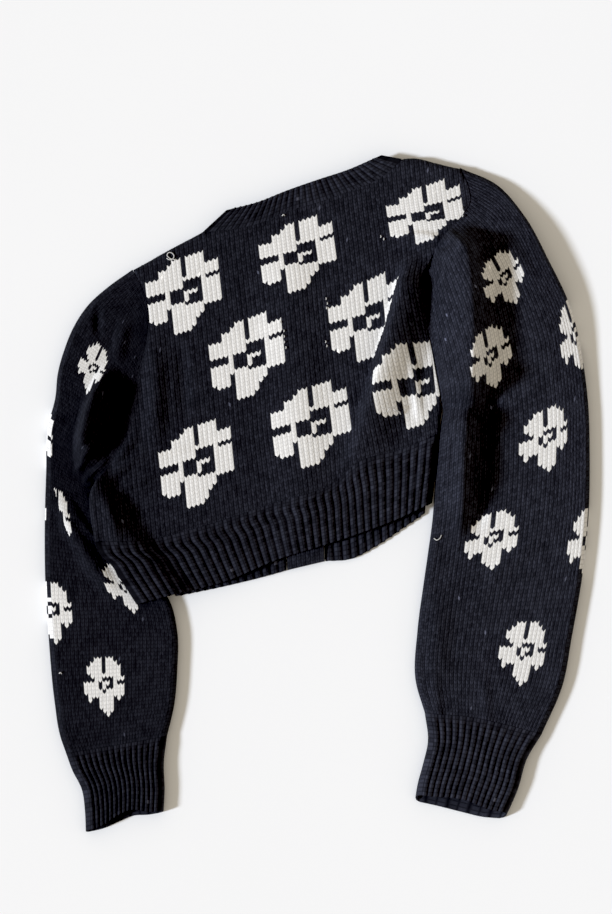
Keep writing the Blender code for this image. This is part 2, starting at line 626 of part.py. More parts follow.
def tube(patch, top_shares, share_v, owner, loft, wall, turns, gaps, ribs=None, reach=0.0):
    """Outer and inner grids of a flattened tube: over the top, round an edge, along the table and up
    round the other edge. reach makes the lower layer that much longer at its open end."""
    flat_top = np.asarray(top_shares, float)
    flat_under = flat_top[::-2] if len(flat_top) % 2 else flat_top[::-1]
    turn_down = np.asarray(turns, float)[:-1]
    # Each station: share across the flat run, turn at the right edge, turn at the left edge
    share = np.concatenate([flat_top, np.ones(len(turn_down)), flat_under, np.zeros(len(turn_down))])
    right = np.concatenate([np.zeros(len(flat_top)), turn_down, np.ones(len(flat_under)), np.zeros(len(turn_down))])
    left = np.concatenate([np.zeros(len(flat_top) + len(turn_down) + len(flat_under)), turn_down[::-1]])
    under = np.concatenate(
        [np.zeros(len(flat_top) + len(turn_down)), np.ones(len(flat_under)), np.zeros(len(turn_down))]
    )
    rows, columns = len(share_v), len(share)
    u = np.tile(share, rows)
    v = np.repeat(np.asarray(share_v, float), columns)
    right = np.tile(right, rows)
    left = np.tile(left, rows)
    under = np.tile(under, rows)
    ends = patch_point(patch, np.array([0.5, 0.5]), np.array([0.0, 1.0]))
    height = np.linalg.norm(ends[1] - ends[0])
    left_line = patch_point(patch, np.zeros(len(v)), v)
    right_line = patch_point(patch, np.ones(len(v)), v)
    width = np.linalg.norm(right_line - left_line, axis=1)
    roll = EDGE_ROLL
    inset_right = roll * (1 - np.sin(np.pi * np.where(under > 0, 1.0, right)))
    inset_left = roll * (1 - np.sin(np.pi * np.where(under > 0, 1.0, left)))
    flat_run = (roll + u * (width - 2 * roll)) / width
    s = np.where((right > 0) & (under == 0), 1 - inset_right / width, flat_run)
    s = np.where(left > 0, inset_left / width, s)
    t = (gaps[0] + v * (height - gaps[0] - gaps[1])) / height
    plan = patch_point(patch, s, t)
    if reach:
        down = patch_point(patch, s, np.zeros(len(s))) - patch_point(patch, s, np.full(len(s), 0.2))
        down /= np.linalg.norm(down, axis=1, keepdims=True)
    x, y = plan[:, 0], plan[:, 1]
    rise, shift_x, shift_y = relief(x, y, owner)
    turn = right + left
    turn = np.where(under > 0, 1.0, turn)
    stay = 0.5 + 0.5 * np.cos(np.pi * turn)
    points = np.stack([x + shift_x * stay, y + shift_y * stay, (loft + rise) * stay], axis=1)
    if reach:
        longer = reach * (1 - stay) * smooth(1 - v / 0.8)
        points[:, :2] += down * longer[:, None]
    outer = points.reshape(rows, columns, 3)
    normals = lattice_normals(outer, around=True)
    inner = outer - wall * normals
    if ribs:
        wave = 0.5 - 0.5 * np.cos(2 * np.pi * ribs * share)
        raised = RIB_RAISE * np.where(under[:columns] > 0, 0.0, np.where(right[:columns] + left[:columns] > 0, 0.0, wave))
        outer = outer + raised[None, :, None] * normals
    return outer, inner


def sleeve_sheet(patch, top_shares, share_v, owner, underarm, facing):
    """Outer and inner grids of a sleeve, cut as one panel.

    Its stations run from the inner seam over the top, round the outer edge, and back along the table
    to the inner seam. Above the underarm the seam edges part and become the armhole.
    """
    flat_top = np.asarray(top_shares, float)
    flat_under = np.linspace(1.0, 0.0, 6)
    seam_turn = np.array([0.47, 0.32, 0.16])
    share = np.concatenate([np.zeros(3), flat_top, np.ones(len(TURN) - 1), flat_under, np.zeros(3)])
    flats = np.zeros(len(flat_top))
    outer_turn = np.concatenate([np.zeros(3), flats, TURN[:-1], np.ones(len(flat_under) + 3)])
    inner_turn = np.concatenate([
        seam_turn, flats, np.zeros(len(TURN) - 1 + len(flat_under)), seam_turn[::-1],
    ])
    under = np.concatenate([
        np.zeros(3 + len(flat_top) + len(TURN) - 1), np.ones(len(flat_under) + 3),
    ])
    rows, columns = len(share_v), len(share)
    u = np.tile(share, rows)
    v = np.repeat(np.asarray(share_v, float), columns)
    outer_turn = np.tile(outer_turn, rows)
    inner_turn = np.tile(inner_turn, rows)
    under = np.tile(under, rows)
    weight = below(underarm, 0.05)(v)
    left_line = patch_point(patch, np.zeros(len(v)), v)
    right_line = patch_point(patch, np.ones(len(v)), v)
    width = np.linalg.norm(right_line - left_line, axis=1)
    ends = patch_point(patch, np.array([0.5, 0.5]), np.array([0.0, 1.0]))
    height = np.linalg.norm(ends[1] - ends[0])
    roll = EDGE_ROLL
    opened = SEAM_GAP * (1 - weight)
    low = opened + roll * ((1 - weight) * (1 - inner_turn / seam_turn[0]) + weight * (1 - np.sin(np.pi * inner_turn)))
    high = roll * (1 - np.sin(np.pi * outer_turn))
    s = (roll + opened + u * (width - opened - 2 * roll)) / width
    s = np.where(inner_turn > 0, low / width, s)
    s = np.where((outer_turn > 0) & (under == 0), 1 - high / width, s)
    t = (SEAM_GAP + v * (height - 2 * SEAM_GAP)) / height
    plan = patch_point(patch, s, t)
    x, y = plan[:, 0], plan[:, 1]
    rise, shift_x, shift_y = relief(x, y, owner)
    turn = np.where(under > 0, 1 - inner_turn * weight, outer_turn + inner_turn * weight)
    stay = 0.5 + 0.5 * np.cos(np.pi * turn)
    points = np.stack([x + shift_x * stay, y + shift_y * stay, (SLEEVE_LOFT + rise) * stay], axis=1)
    outer = points.reshape(rows, columns, 3)
    normals = facing * lattice_normals(outer, around=False)
    # The two edges of the inner seam face each other squarely.
    opening = (1 - below(underarm, 0.05)(np.asarray(share_v, float)))[:, None]
    normals[:, [0, -1], 2] *= opening
    normals /= np.linalg.norm(normals, axis=2, keepdims=True)
    rolled = np.sin(np.pi * turn).reshape(rows, columns, 1)
    return outer, outer - KNIT_WALL * (1 - ROLL_THINNING * rolled) * normals


def make_sleeve(name, collection, material, patch, top_shares, share_v, underarm, facing):
    outer, inner = sleeve_sheet(patch, top_shares, share_v, name, underarm, facing)
    bm = bmesh.new()
    add_wall(bm, outer, inner, around=False)
    return finish_object(name, bm, material, collection)


def make_sleeves(collection, material):
    """Each sleeve's patch runs from its inner seam and lower armhole to its outer edge."""
    apex = 6
    patch = Patch(
        CUFF_LEFT_SEAM[::-1], ARMHOLE_LEFT[apex:], joined(SLEEVE_LEFT_INNER, ARMHOLE_LEFT[:apex + 1]),
        SLEEVE_LEFT_OUTER, (), (),
    )
    underarm = shares(SLEEVE_LEFT_INNER, ARMHOLE_LEFT[:apex + 1])[0]
    top_shares = spaced((10, 4), (0.5, 1.0))
    make_sleeve("sleeve_left", collection, material, patch, top_shares, np.linspace(0, 1, 22), underarm, -1)
    apex = 4
    patch = Patch(
        CUFF_RIGHT_SEAM, ARMHOLE_RIGHT[apex:], joined(SLEEVE_RIGHT_INNER, ARMHOLE_RIGHT[:apex + 1]),
        SLEEVE_RIGHT_OUTER, (), (),
    )
    underarm = shares(SLEEVE_RIGHT_INNER, ARMHOLE_RIGHT[:apex + 1])[0]
    top_shares = spaced((12, 3, 4), (0.3, 0.5, 1.0))
    make_sleeve("sleeve_right", collection, material, patch, top_shares, np.linspace(0, 1, 24), underarm, 1)


def make_cuff(name, collection, material, patch, reach):
    outer, inner = tube(
        patch, rib_stations(CUFF_RIBS), np.linspace(0, 1, 4), name, SLEEVE_LOFT + 1.0, RIB_WALL,
        TURN, (0, SEAM_GAP), CUFF_RIBS, reach,
    )
    bm = bmesh.new()
    add_wall(bm, outer, inner, around=True)
    return finish_object(name, bm, material, collection)


def make_cuffs(collection, material):
    left = Patch(CUFF_LEFT_EDGE, CUFF_LEFT_SEAM, CUFF_LEFT_OUTER, CUFF_LEFT_INNER, (), ())
    make_cuff("cuff_left", collection, material, left, 2.0)
    right = Patch(CUFF_RIGHT_EDGE, CUFF_RIGHT_SEAM, CUFF_RIGHT_INNER, CUFF_RIGHT_OUTER, (), ())
    make_cuff("cuff_right", collection, material, right, 7.0)


def main():
    for obj in list(bpy.data.objects):
        bpy.data.objects.remove(obj, do_unlink=True)
    collection = bpy.data.collections.new("cardigan")
    bpy.context.scene.collection.children.link(collection)
    knit = make_material("navy_knit", NAVY, 0.9)
    rib = make_material("navy_rib", NAVY, 0.92)
    horn = make_material("button", HORN, 0.35)
    make_back(collection, knit)
    make_fronts(collection, knit, rib)
    make_sleeves(collection, knit)
    make_cuffs(collection, rib)
    make_hem_back(collection, rib)
    make_neckband(collection, rib)
    make_bands(collection, rib)
    make_buttons(collection, horn)


main()
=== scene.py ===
"""Cropped knitted cardigan, laid flat on its front with the back up.

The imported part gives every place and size. Here each knitted piece becomes a thin cloth with its
stitches modelled: a stitch is two plump legs that meet in a V, a few mesh columns wide. The tables
are in millimetres, X to the right and Y towards the neck, with the table top at Z = 0.
"""

import math
from collections import namedtuple

import bmesh
import bpy
import numpy as np
from bpy.props import FloatProperty, FloatVectorProperty, PointerProperty
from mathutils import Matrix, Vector


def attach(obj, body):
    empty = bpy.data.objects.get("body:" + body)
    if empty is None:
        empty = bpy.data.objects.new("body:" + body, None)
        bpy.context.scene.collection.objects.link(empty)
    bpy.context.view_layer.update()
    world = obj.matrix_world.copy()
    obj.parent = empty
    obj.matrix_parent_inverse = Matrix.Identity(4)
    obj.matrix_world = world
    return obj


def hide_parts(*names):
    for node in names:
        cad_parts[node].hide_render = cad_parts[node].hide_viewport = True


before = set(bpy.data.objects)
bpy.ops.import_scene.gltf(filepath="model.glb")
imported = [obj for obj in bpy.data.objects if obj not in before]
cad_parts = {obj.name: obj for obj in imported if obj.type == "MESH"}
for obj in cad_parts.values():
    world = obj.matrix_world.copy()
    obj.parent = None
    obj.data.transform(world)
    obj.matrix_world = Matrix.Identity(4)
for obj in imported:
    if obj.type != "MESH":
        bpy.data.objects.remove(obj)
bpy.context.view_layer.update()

bl_info = {
    "name": "Flat-laid knitted cardigan",
    "version": (1, 0),
    "blender": (4, 5, 0),
    "location": "View3D > Sidebar > Cardigan",
    "description": "Builds the stitches, ribs, flowers and stage of a cropped cardigan",
    "category": "Add Mesh",
}

MM = 0.001

# Form shared with the part
SEAM_GAP = 0.45  # left between two sewn pieces
KNIT_WALL = 3.0
RIB_WALL = 2.6
RIB_SHOWN = 1.5  # how far each rib stands out
BAND_WALL = 2.6
BODY_LOFT = 12.0  # table to the top of the flat body
SLEEVE_LOFT = 11.0  # table to the top of a flat sleeve
EDGE_ROLL = 5.4  # plan radius of a folded-over edge
HEM_BACK_RIBS = 40
HEM_LEFT_RIBS = 14
HEM_RIGHT_RIBS = 13
NECK_RIBS = 28
NECK_SHOWN = 0.6  # the share of a rib's height that the neckband keeps
NECK_FRONT_RIBS = 14
CUFF_RIBS = 15
BUTTON_COUNT = 5
BUTTON_RADIUS = 8.0
BUTTON_THICK = 2.2
BUTTON_SPAN = (0.10, 0.94)  # shares up the bands of the first and the last button
BUTTON_EASE = 23.0  # how far past a button the band over it is lifted
BUTTON_SLOPE = 14.0  # run over which it comes down

# The left sleeve passes under the body's lower left corner, so the back is lifted over it.
TUCK_RAMP = 26.0  # run over which it rises, before the line of the sleeve's edge
TUCK_PAST = 2.0  # and past it
TUCK_CLEAR = 1.0  # left between the sleeve and the back
TUCK_FADE_FROM = 46.0
TUCK_FADE_RUN = 34.0

# A stitch in the mesh
LEG_COLUMNS = 4  # mesh columns across a wale
LEG_ROWS = 2  # mesh rows up a course
LEG_PLACES = (0.0, 0.25, 0.5, 0.75, 1.0)
LEG_HEIGHTS = (0.1, 1.0, 0.55, 1.0, 0.1)
LEG_JOIN = 0.55  # height left where one stitch sinks into the next
LEG_SLANT = 0.62  # how far, in courses, a leg climbs from the middle of its stitch
RIB_COLUMNS = 8  # mesh columns across a rib
RIB_ROWS = 2  # mesh rows up a rib's stitch
RIB_SLANT = 0.5  # how far, in courses, a rib's stitches dip at its middle
RIB_FADE = 2.5  # courses over which the ribs rise from the seam
RIB_STITCH = 0.35  # how far a rib's stitches stand out
RIB_SHARP = 4  # the higher, the narrower the valleys between ribs
BAND_WALES = 8
BAND_COURSES = 76
BAND_SHELL = 1.7  # wall of a ribbed cloth
SNAP = 0.5  # a mesh point nearer than this to a cut edge moves onto it
EDGE_FADE = 2.5  # stitches flatten over this much at a cut edge
ROLL_FROM = 0.4  # an edge with a smaller roll weight isn't turned under
UNDER_TURNS = (0.62, 0.74, 0.87, 1.0)
TURN = np.array([0.25, 0.5, 0.75, 1.0])  # steps of a half turn over a folded edge
SEAM_TURN = np.array([0.47, 0.32, 0.16])  # and up from a sleeve's seam
SLEEVE_UNDER_COLUMNS = 6
UNDERARM_BLEND = 0.05  # share of a sleeve over which its seam opens into the armhole
SEAM_TUCKED = 1.6  # how far a sleeve's cloth reaches under the body at the armhole
SEAM_SINK = 0.7  # and how far below the body's cloth it lies there
FRONT_RAISED = 0.5
BAND_RAISED = 0.5
CUFF_RAISED = 1.0  # how far the ribs of a cuff lift its cloth above the sleeve
MOUTH_RIB = 1.3  # ribs seen inside the mouth of a cuff
MOUTH_DEPTH = 7.0  # courses from the edge over which they show
MOUTH_ARCH = 5.0  # how far the upper edge of the mouth stands back at its middle
MOUTH_SHARE = 0.8  # share of a cuff over which its layers part in length
OUTLINE_STEP = 3.0  # between two points of a panel's outline
OUTLINE_BLEND = 4  # points over which the roll weight changes, on each side
SPINE_POINTS = 33
DIRECTION_STEP = 0.2  # share of a cuff over which its direction is measured
FAR_AWAY = 1e6  # the plan place of cloth that no flower is laid on

YARN_RADIUS = 0.45
YARN_SIDES = 6
YARN_LIFT = 1.2  # how far a loose yarn end lies above the cloth
YARN_TIP = 0.15  # the angle from which its arch starts
LINT_LIGHT = 4.0  # how much lighter a fleck of lint is
LINT_ABOVE = 0.9988  # the stitch legs, of 0 to 1 at random, that are lint
PLY_TWIST = 24  # degrees
YARN_BUMP = 0.0004  # metres
FIBRE_NOISE = (1100.0, 3.0)  # scale and detail
DYE_NOISE = (60.0, 4.0)
HORN_NOISE = (260.0, 5.0)
TABLE_NOISE = (3.0, 2.0)

# Colours
HORN_DARK = (0.012, 0.009, 0.008)
HORN_LIGHT = (0.075, 0.05, 0.035)
TABLE_LIGHT = (0.87, 0.87, 0.87)

# How each yarn looks. The light ramp is painted light and shade: how much lighter the yarn is
# painted per metre to the right, where the light falls more, so its left side is painted darker.
Yarn = namedtuple("Yarn", "roughness specular sheen ply fibre uneven groove nap bump")
YARNS = {
    "navy": Yarn(0.9, 0.10, 0.0, 0.4, 0.8, 0.66, 0.85, 1.2, 0.9),
    "cream": Yarn(0.8, 0.3, 0.1, 0.5, 0.6, 0.10, 0.42, 0.0, 0.5),
}

# Painted shade in the grooves between wales, between the legs of a stitch and between courses
Groove = namedtuple("Groove", "axis repeats start deep")
PAINTED_GROOVE_SHADES = (Groove("X", 1.0, 0.30, 0.85), Groove("X", 2.0, 0.30, 0.7), Groove("Y", 1.0, 0.26, 0.65))

# Flat sizes of the cloth in metres, its area where the cut isn't a rectangle, and what it lies on
Sheet = namedtuple("Sheet", "flat area rests_on", defaults=(None, ()))

# Light and camera
SUN_TOWARDS = (1.0, 0.25, -0.62)
SUN_STRENGTH = 3.66
SUN_COLOUR = (0.90, 0.98, 1.12)
SUN_SPREAD = 9.0  # degrees
FILL_COLOUR = (0.54, 0.49, 0.41)
FILL_STRENGTH = 1.0
BLACK_LEVEL = (0.0080, 0.0086, 0.0095)  # light that the camera shows as black
TABLE_HALF = 8.0  # metres
TABLE_PARTS = 8
SENSOR = 36.0
CAMERA_AWAY = 3.0  # metres
CAMERA_LEAN = 5.0  # degrees off straight down, towards the hem
CAMERA_END = 20.0  # metres
FRAME_TALL = 0.914  # metres that the picture's height covers
FRAME_CENTRE = (-12.0, 33.0, 8.0)

# Folds push a panel up along a spine of three points. Lean moves the crest sideways, to the left
# of the spine's direction, so that it hangs over what lies there. Start and end are the shares of
# the spine over which a fold comes and goes. The part's folds come first, and then creases that
# only the cloth has.
Fold = namedtuple(
    "Fold", "x0 y0 xm ym x1 y1 left right rise lean start end", defaults=(0.0, 0.40, 0.40)
)
FOLD_ROWS = {
    #  x0   y0    xm   ym    x1   y1  left right rise lean start end
    "body": (
        (20, -12, 66, 80, 101, 236, 20, 36, 20.0, 9.0, 0.55, 0.14),
        (-166, 22, -160, 95, -166, 168, 15, 17, 5.0),
        (-134, 58, -132, 100, -140, 158, 12, 12, -2.6),
        (-11, -100, -20, 60, -34, 268, 42, 42, 3.4, 0.0, 0.04, 0.20),
        (-214, 8, -206, -26, -196, -66, 10, 14, 3.6, 0.0, 0.45, 0.45),
        (-214, -12, -190, 8, -150, 16, 7, 7, 2.6, 0.0, 0.40, 0.50),
        (-216, 2, -196, 26, -166, 40, 7, 8, 2.6, 0.0, 0.40, 0.50),
        (-207, 14, -190, 48, -176, 62, 6, 8, 2.2, 0.0, 0.40, 0.50),
        (-206, -30, -176, -14, -120, -10, 8, 8, -1.6, 0.0, 0.40, 0.50),
        (-85, 23, -66, 36, -47, 49, 7, 7, 1.2),
        (-207, 21, -158, 35, -109, 49, 8, 8, 1.2),
        (66, 250, 92, 262, 132, 250, 7, 7, 3.0, 0.0, 0.40, 0.30),
        (60, 236, 86, 244, 112, 240, 6, 8, -2.0, 0.0, 0.40, 0.30),
        (104, 60, 94, 96, 100, 140, 7, 9, 2.6),
        (96, -6, 108, 24, 108, 60, 6, 8, 2.4),
        (-10, 205, 60, 215, 120, 236, 9, 9, 1.6, 0.0, 0.40, 0.30),
    ),
    "sleeve_right": (
        (150, 78, 160, 190, 140, 270, 48, 26, 35.0, 1.0, 0.16, 0.16),
        (136, -60, 154, 22, 143, 88, 28, 24, 22.0, 1.0, 0.45, 0.22),
        (118, -215, 112, -150, 124, -90, 14, 22, 3.5),
        (140, 40, 152, 84, 152, 124, 22, 22, 13.0),
        (108, 222, 118, 250, 138, 240, 8, 8, -11.0, 0.0, 0.10, 0.35),
        (128, 262, 138, 252, 146, 236, 7, 8, 4.0, 0.0, 0.30, 0.30),
        (128, -22, 126, 14, 131, 44, 5, 5, 2.2),
        (118, -262, 122, -225, 112, -170, 8, 9, 1.6, 0.0, 0.30, 0.40),
        (168, -262, 172, -230, 160, -170, 9, 9, 1.2, 0.0, 0.30, 0.40),
        (138, -70, 147, 10, 141, 70, 10, 8, 4.0, 0.0, 0.40, 0.30),
        (152, -60, 166, 25, 176, 118, 13, 14, -8.0, 0.0, 0.40, 0.30),
        (150, -120, 190, -60, 236, -40, 12, 14, 1.6),
        (176, 262, 200, 240, 216, 200, 12, 12, 2.0),
    ),
    "sleeve_left": (
        (-228, 16, -243, 52, -203, 128, 14, 26, 26.0, 3.0, 0.30, 0.40),
        (-196, -112, -246, -46, -262, 8, 16, 12, 5.0, 2.0, 0.35, 0.35),
        (-206, 120, -199, 145, -192, 178, 10, 12, 3.0),
        (-236, 4, -226, 18, -206, 30, 6, 6, 3.0, 0.0, 0.30, 0.30),
        (-243, 12, -232, 36, -214, 48, 6, 6, 3.0, 0.0, 0.30, 0.30),
        (-250, -4, -240, -30, -214, -60, 6, 7, 2.4),
        (-219, 150, -223, 172, -218, 186, 7, 7, -3.0),
    ),
}
FOLDS = {owner: [Fold(*row) for row in rows] for owner, rows in FOLD_ROWS.items()}
TUCK_LINE = Fold(-233, 24, -206, -38, -140, -112, 1, 1, 0, 0, 1, 1)

# Swells are broad soft rises that the body and the sleeves share.
Swell = namedtuple("Swell", "x y radius_x radius_y rise")
SWELLS = (
    Swell(212, 215, 100, 160, 10.0),
    Swell(120, 240, 60, 90, 3.0),
    Swell(-238, 120, 70, 110, 3.0),
)

# Seam lines and folded edges, as x, y pairs. Side lines run from hem to shoulder.
ARMHOLE_LEFT = (
    (-222, 8), (-208, 24), (-194, 46), (-184, 86), (-178, 118), (-172, 140),
    (-169, 165), (-171, 187), (-177, 205), (-186, 221.5),
)
ARMHOLE_RIGHT = (
    (124, 82), (120, 105), (113, 145), (107, 185), (108, 215), (116, 238),
    (132, 262), (146, 278), (153, 290), (151, 306), (144, 324.5),
)
SIDE_LEFT = ((-222, -53), (-226, -32), (-228, -14), (-227, -2), (-222, 8))
SIDE_RIGHT = ((122, 56), (124, 82))
SHOULDER_LEFT = ((-186, 221.5), (-149, 243), (-113, 262))
SHOULDER_RIGHT = ((76, 326), (83, 334), (95, 336), (119, 331), (144, 324.5))
NECK_SEAM = (
    (-115, 260.5), (-88, 262.5), (-61, 268), (-31, 281), (0, 290), (30, 301), (61, 314), (76, 326),
    (83, 334.5),
)
NECK_EDGE = (
    (-116, 262.5), (-92, 282), (-61, 290), (-31, 302), (0, 313), (30, 323), (64, 338),
)
HEM_SEAM = (
    (-222, -53), (-174, -51), (-120, -38), (-49, -15), (14, 6), (41, 26), (85, 41), (122, 56),
)
HEM_EDGE = (
    (-180, -115), (-138, -104), (-93, -92), (-40, -70), (5, -56), (41, -44), (76, -31), (114, -13),
)
HEM_LEFT_END = ((-180, -115), (-197, -89), (-206, -75), (-217, -65), (-222, -53))
HEM_RIGHT_END = ((114, -13), (116.5, 8), (119.5, 32), (122, 56))

# The fronts lie on the table, under the back.
FRONT_LEFT_SIDE = ((-176, -62), (-189, -42), (-206, -13), (-216, 10))
FRONT_SHOULDER_LEFT = ((-182, 212), (-148, 232), (-114, 251))
FRONT_NECK_LEFT = ((-114, 251), (-104, 232), (-82, 214), (-62, 206), (-49, 204))
FRONT_HEM_SEAM_LEFT = ((-176, -62), (-120, -48), (-80, -36), (-34, -22))
FRONT_HEM_EDGE_LEFT = ((-142, -106), (-93, -96), (-52, -86), (-31, -80))
BAND_LEFT_LINE = ((-31, -80), (-34, -22), (-49, 204))
BAND_RIGHT_LINE = ((7, -71), (4, -8), (-11, 203))
FRONT_HEM_SEAM_RIGHT = ((4, -8), (50, 20), (86, 34), (113.5, 44.5))
FRONT_HEM_EDGE_RIGHT = ((7, -71), (32, -69), (58, -56), (85, -38), (107, -23))
FRONT_NECK_RIGHT = ((-11, 203), (14, 212), (40, 238), (62, 276), (74, 312))
FRONT_SHOULDER_RIGHT = ((74, 312), (88, 322), (114, 318), (138, 309))
FRONT_HEM_RIGHT_END = ((107, -23), (109, 5), (113.5, 44.5))
FRONT_RIGHT_SIDE = ((113.5, 44.5), (117, 64), (118, 84))
NECK_INNER_LEFT = ((-101, 262), (-90, 246), (-73, 231), (-54, 225), (-11, 223))
NECK_INNER_RIGHT = ((-11, 223), (4, 230), (24, 250), (44, 282), (58, 318))

# Sleeve edges run from the cuff seam up.
SLEEVE_LEFT_OUTER = (
    (-250, -262), (-256, -245), (-262, -210), (-268, -150), (-272, -93), (-273, -40),
    (-272, 17), (-270, 66), (-263, 90), (-260, 116), (-255, 140), (-247, 163), (-232, 186),
    (-211, 205), (-188, 221.5),
)
SLEEVE_LEFT_INNER = (
    (-150, -245), (-143, -215), (-140, -180), (-140, -140), (-147, -110), (-164, -86),
    (-190, -52), (-210, -20), (-223, 8),
)
SLEEVE_RIGHT_INNER = (
    (106, -222), (97, -190), (99, -140), (105, -95), (109, -68), (114.8, -25),
    (116.8, 5), (119.3, 32), (121.7, 58), (124.2, 83),
)
SLEEVE_RIGHT_OUTER = (
    (222, -243), (243, -195), (253, -145), (263, -90), (270, -30), (272, 40),
    (271, 85), (266, 130), (254, 185), (235, 230), (207, 279), (180, 309), (145, 325.5),
)
CUFF_LEFT_SEAM = ((-250, -262), (-202, -254), (-150, -245))
CUFF_LEFT_EDGE = (
    (-230, -338), (-213, -334), (-198, -327.5), (-183, -321.5), (-168, -320.5), (-153, -318),
)
CUFF_LEFT_OUTER = ((-230, -338), (-231, -318), (-234, -298), (-244, -278), (-250, -262))
CUFF_LEFT_INNER = ((-153, -318), (-152, -298), (-153, -272), (-150, -245))
CUFF_RIGHT_SEAM = ((106, -222), (157, -227), (196, -236), (222, -243))
CUFF_RIGHT_EDGE = ((97, -302), (120, -307), (144, -313), (165, -318), (188, -320))
CUFF_RIGHT_INNER = ((97, -302), (99, -290), (104, -272), (109, -250), (106, -222))
CUFF_RIGHT_OUTER = ((188, -320), (199, -295), (207, -268), (222, -243))

# Flowers, charted: a row of text is a course and a mark is a stitch in cream
BACK_FLOWER = (
    "......##.####...",
    ".....###.####...",
    "...#####.####...",
    "...#####.#######",
    "########.#######",
    "################",
    "########....#...",
    "########....####",
    "....#.......####",
    "....#...###.####",
    "#####...#...####",
    "#####...#...####",
    "########....####",
    "####.###########",
    "####.#######....",
    ".###.#######....",
    ".....######.....",
    ".....#####......",
    ".....#####......",
    ".....####.......",
)
SLEEVE_FLOWER = (
    "...##.##...",
    "..###.###..",
    ".####.####.",
    ".####.####.",
    "..########.",
    "...##...###",
    "####.##.#..",
    "####.#..###",
    "#####.#####",
    ".##########",
    ".#..####.#.",
    "....####...",
    "....####...",
    ".....###...",
    "......#....",
)

# Centres of the flowers, and how many wales further out, past the edge, each centre lies
BACK_FLOWERS = (
    (-135, 193, 0), (-17, 233, 0), (109, 275, 0), (-74, 128, 0), (50, 168.5, 0), (-122, 20, 0),
    (-6, 61, 0), (98, 104, 0),
)
SLEEVE_RIGHT_FLOWERS = (
    (187, 208.5, 0), (169.5, 128, 0), (257, 150, 0), (225, 47, 0), (171, -51, 0), (266, -55, 1),
    (201.5, -162, 0),
)
SLEEVE_LEFT_FLOWERS = (
    (-225, 121, 0), (-268, 46, 4), (-258, -29, 0), (-263.5, -124, 0), (-189, -100, 1),
    (-212, -198, 0),
)
# A fold hides the part of a flower that lies past this line: panel, flower, side that stays, line
Cut = namedtuple("Cut", "owner flower side line")
CUTS = (
    Cut("body", 4, -1, ((55, 92), (58, 138), (67, 160), (83, 214), (87, 225))),
    Cut("sleeve_left", 2, 1, ((-242, -60), (-252, -37), (-257, -23), (-264, 4))),
)

# Places where the knitting is stretched or squeezed: centre, scale across and up, reach
Stretch = namedtuple("Stretch", "owner x y across up reach")
STRETCHES = (
    Stretch("body", -6, 61, 1.10, 0.97, 46),
    Stretch("body", -17, 233, 1.04, 0.74, 48),
    Stretch("body", -135, 193, 1.0, 0.88, 46),
    Stretch("body", -74, 128, 1.0, 0.93, 44),
    Stretch("body", 50, 168, 1.0, 0.85, 46),
    Stretch("body", 109, 274, 1.03, 0.55, 62),
    Stretch("body", -122, 20, 0.97, 1.0, 44),
    Stretch("sleeve_right", 188, 209.5, 0.82, 0.80, 42),
    Stretch("sleeve_right", 171, 129, 0.80, 0.99, 42),
    Stretch("sleeve_left", -225, 120, 1.08, 0.62, 36),
    Stretch("sleeve_left", -190, -99, 0.86, 0.86, 36),
)

# Loose yarn ends, and specks where a strand behind a flower shows through
YarnEnd = namedtuple("YarnEnd", "owner loft points")
YARN_ENDS = (
    YarnEnd("body", BODY_LOFT, (
        (-152, 233), (-149.5, 231.5), (-146, 232), (-144.5, 235), (-146.5, 238), (-150, 238.5),
        (-151.5, 236), (-149, 233), (-142.5, 231.5),
    )),
    YarnEnd("body", BODY_LOFT, ((-36, 276), (-34.6, 277.2), (-33.4, 276.2))),
    YarnEnd("body", BODY_LOFT, (
        (69, 77), (71.5, 80), (75, 80.5), (78, 78), (81, 77.5), (82.5, 75),
    )),
    YarnEnd("sleeve_right", SLEEVE_LOFT, (
        (115.5, -48.5), (118, -50.5), (121, -49), (123, -45.5),
    )),
    YarnEnd("sleeve_left", SLEEVE_LOFT, ((-257, -183), (-255.6, -182), (-254.6, -183.4))),
)
SPECKS = (
    (-34.2, 159), (-34, 153.5), (-33.8, 147.8), (-32.2, 142.2), (-38, 168), (8, 192),
    (9.2, 187.2), (8.4, 182.6), (7.6, 148.4), (8.8, 144.2), (144.6, 283.6), (146.2, 279.8),
    (145.2, 275.6), (63, 255), (66, 252.4),
)


def smooth(value):
    """Runs from 0 to 1 with level ends."""
    value = np.clip(value, 0.0, 1.0)
    return value * value * (3.0 - 2.0 * value)


def unit(vectors):
    """The vectors at length one. A zero vector stays zero."""
    length = np.linalg.norm(vectors, axis=-1, keepdims=True)
    return vectors / np.maximum(length, 1e-9)


def line_steps(points):
    """Lengths of a line's segments."""
    return np.linalg.norm(np.diff(np.array(points, float), axis=0), axis=1)


def curve(points, where):
    """Points at the given shares of a line's length, on a smooth line through its points."""
    points = np.array(points, float)
    knots = np.concatenate([[0.0], np.cumsum(line_steps(points))])
    knots /= knots[-1]
    where = np.clip(np.asarray(where, float), 0.0, 1.0)
    span = np.clip(np.searchsorted(knots, where, side="right") - 1, 0, len(points) - 2)
    width = (knots[span + 1] - knots[span])[:, None]
    t = (where - knots[span])[:, None] / width
    first, last = points[span], points[span + 1]
    if len(points) < 3:
        return first + t * (last - first)
    slopes = np.gradient(points, knots, axis=0)
    a = 2 * t**3 - 3 * t**2 + 1
    b = t**3 - 2 * t**2 + t
    c = -2 * t**3 + 3 * t**2
    d = t**3 - t**2
    return a * first + b * width * slopes[span] + c * last + d * width * slopes[span + 1]


Patch = namedtuple("Patch", "bottom top left right")


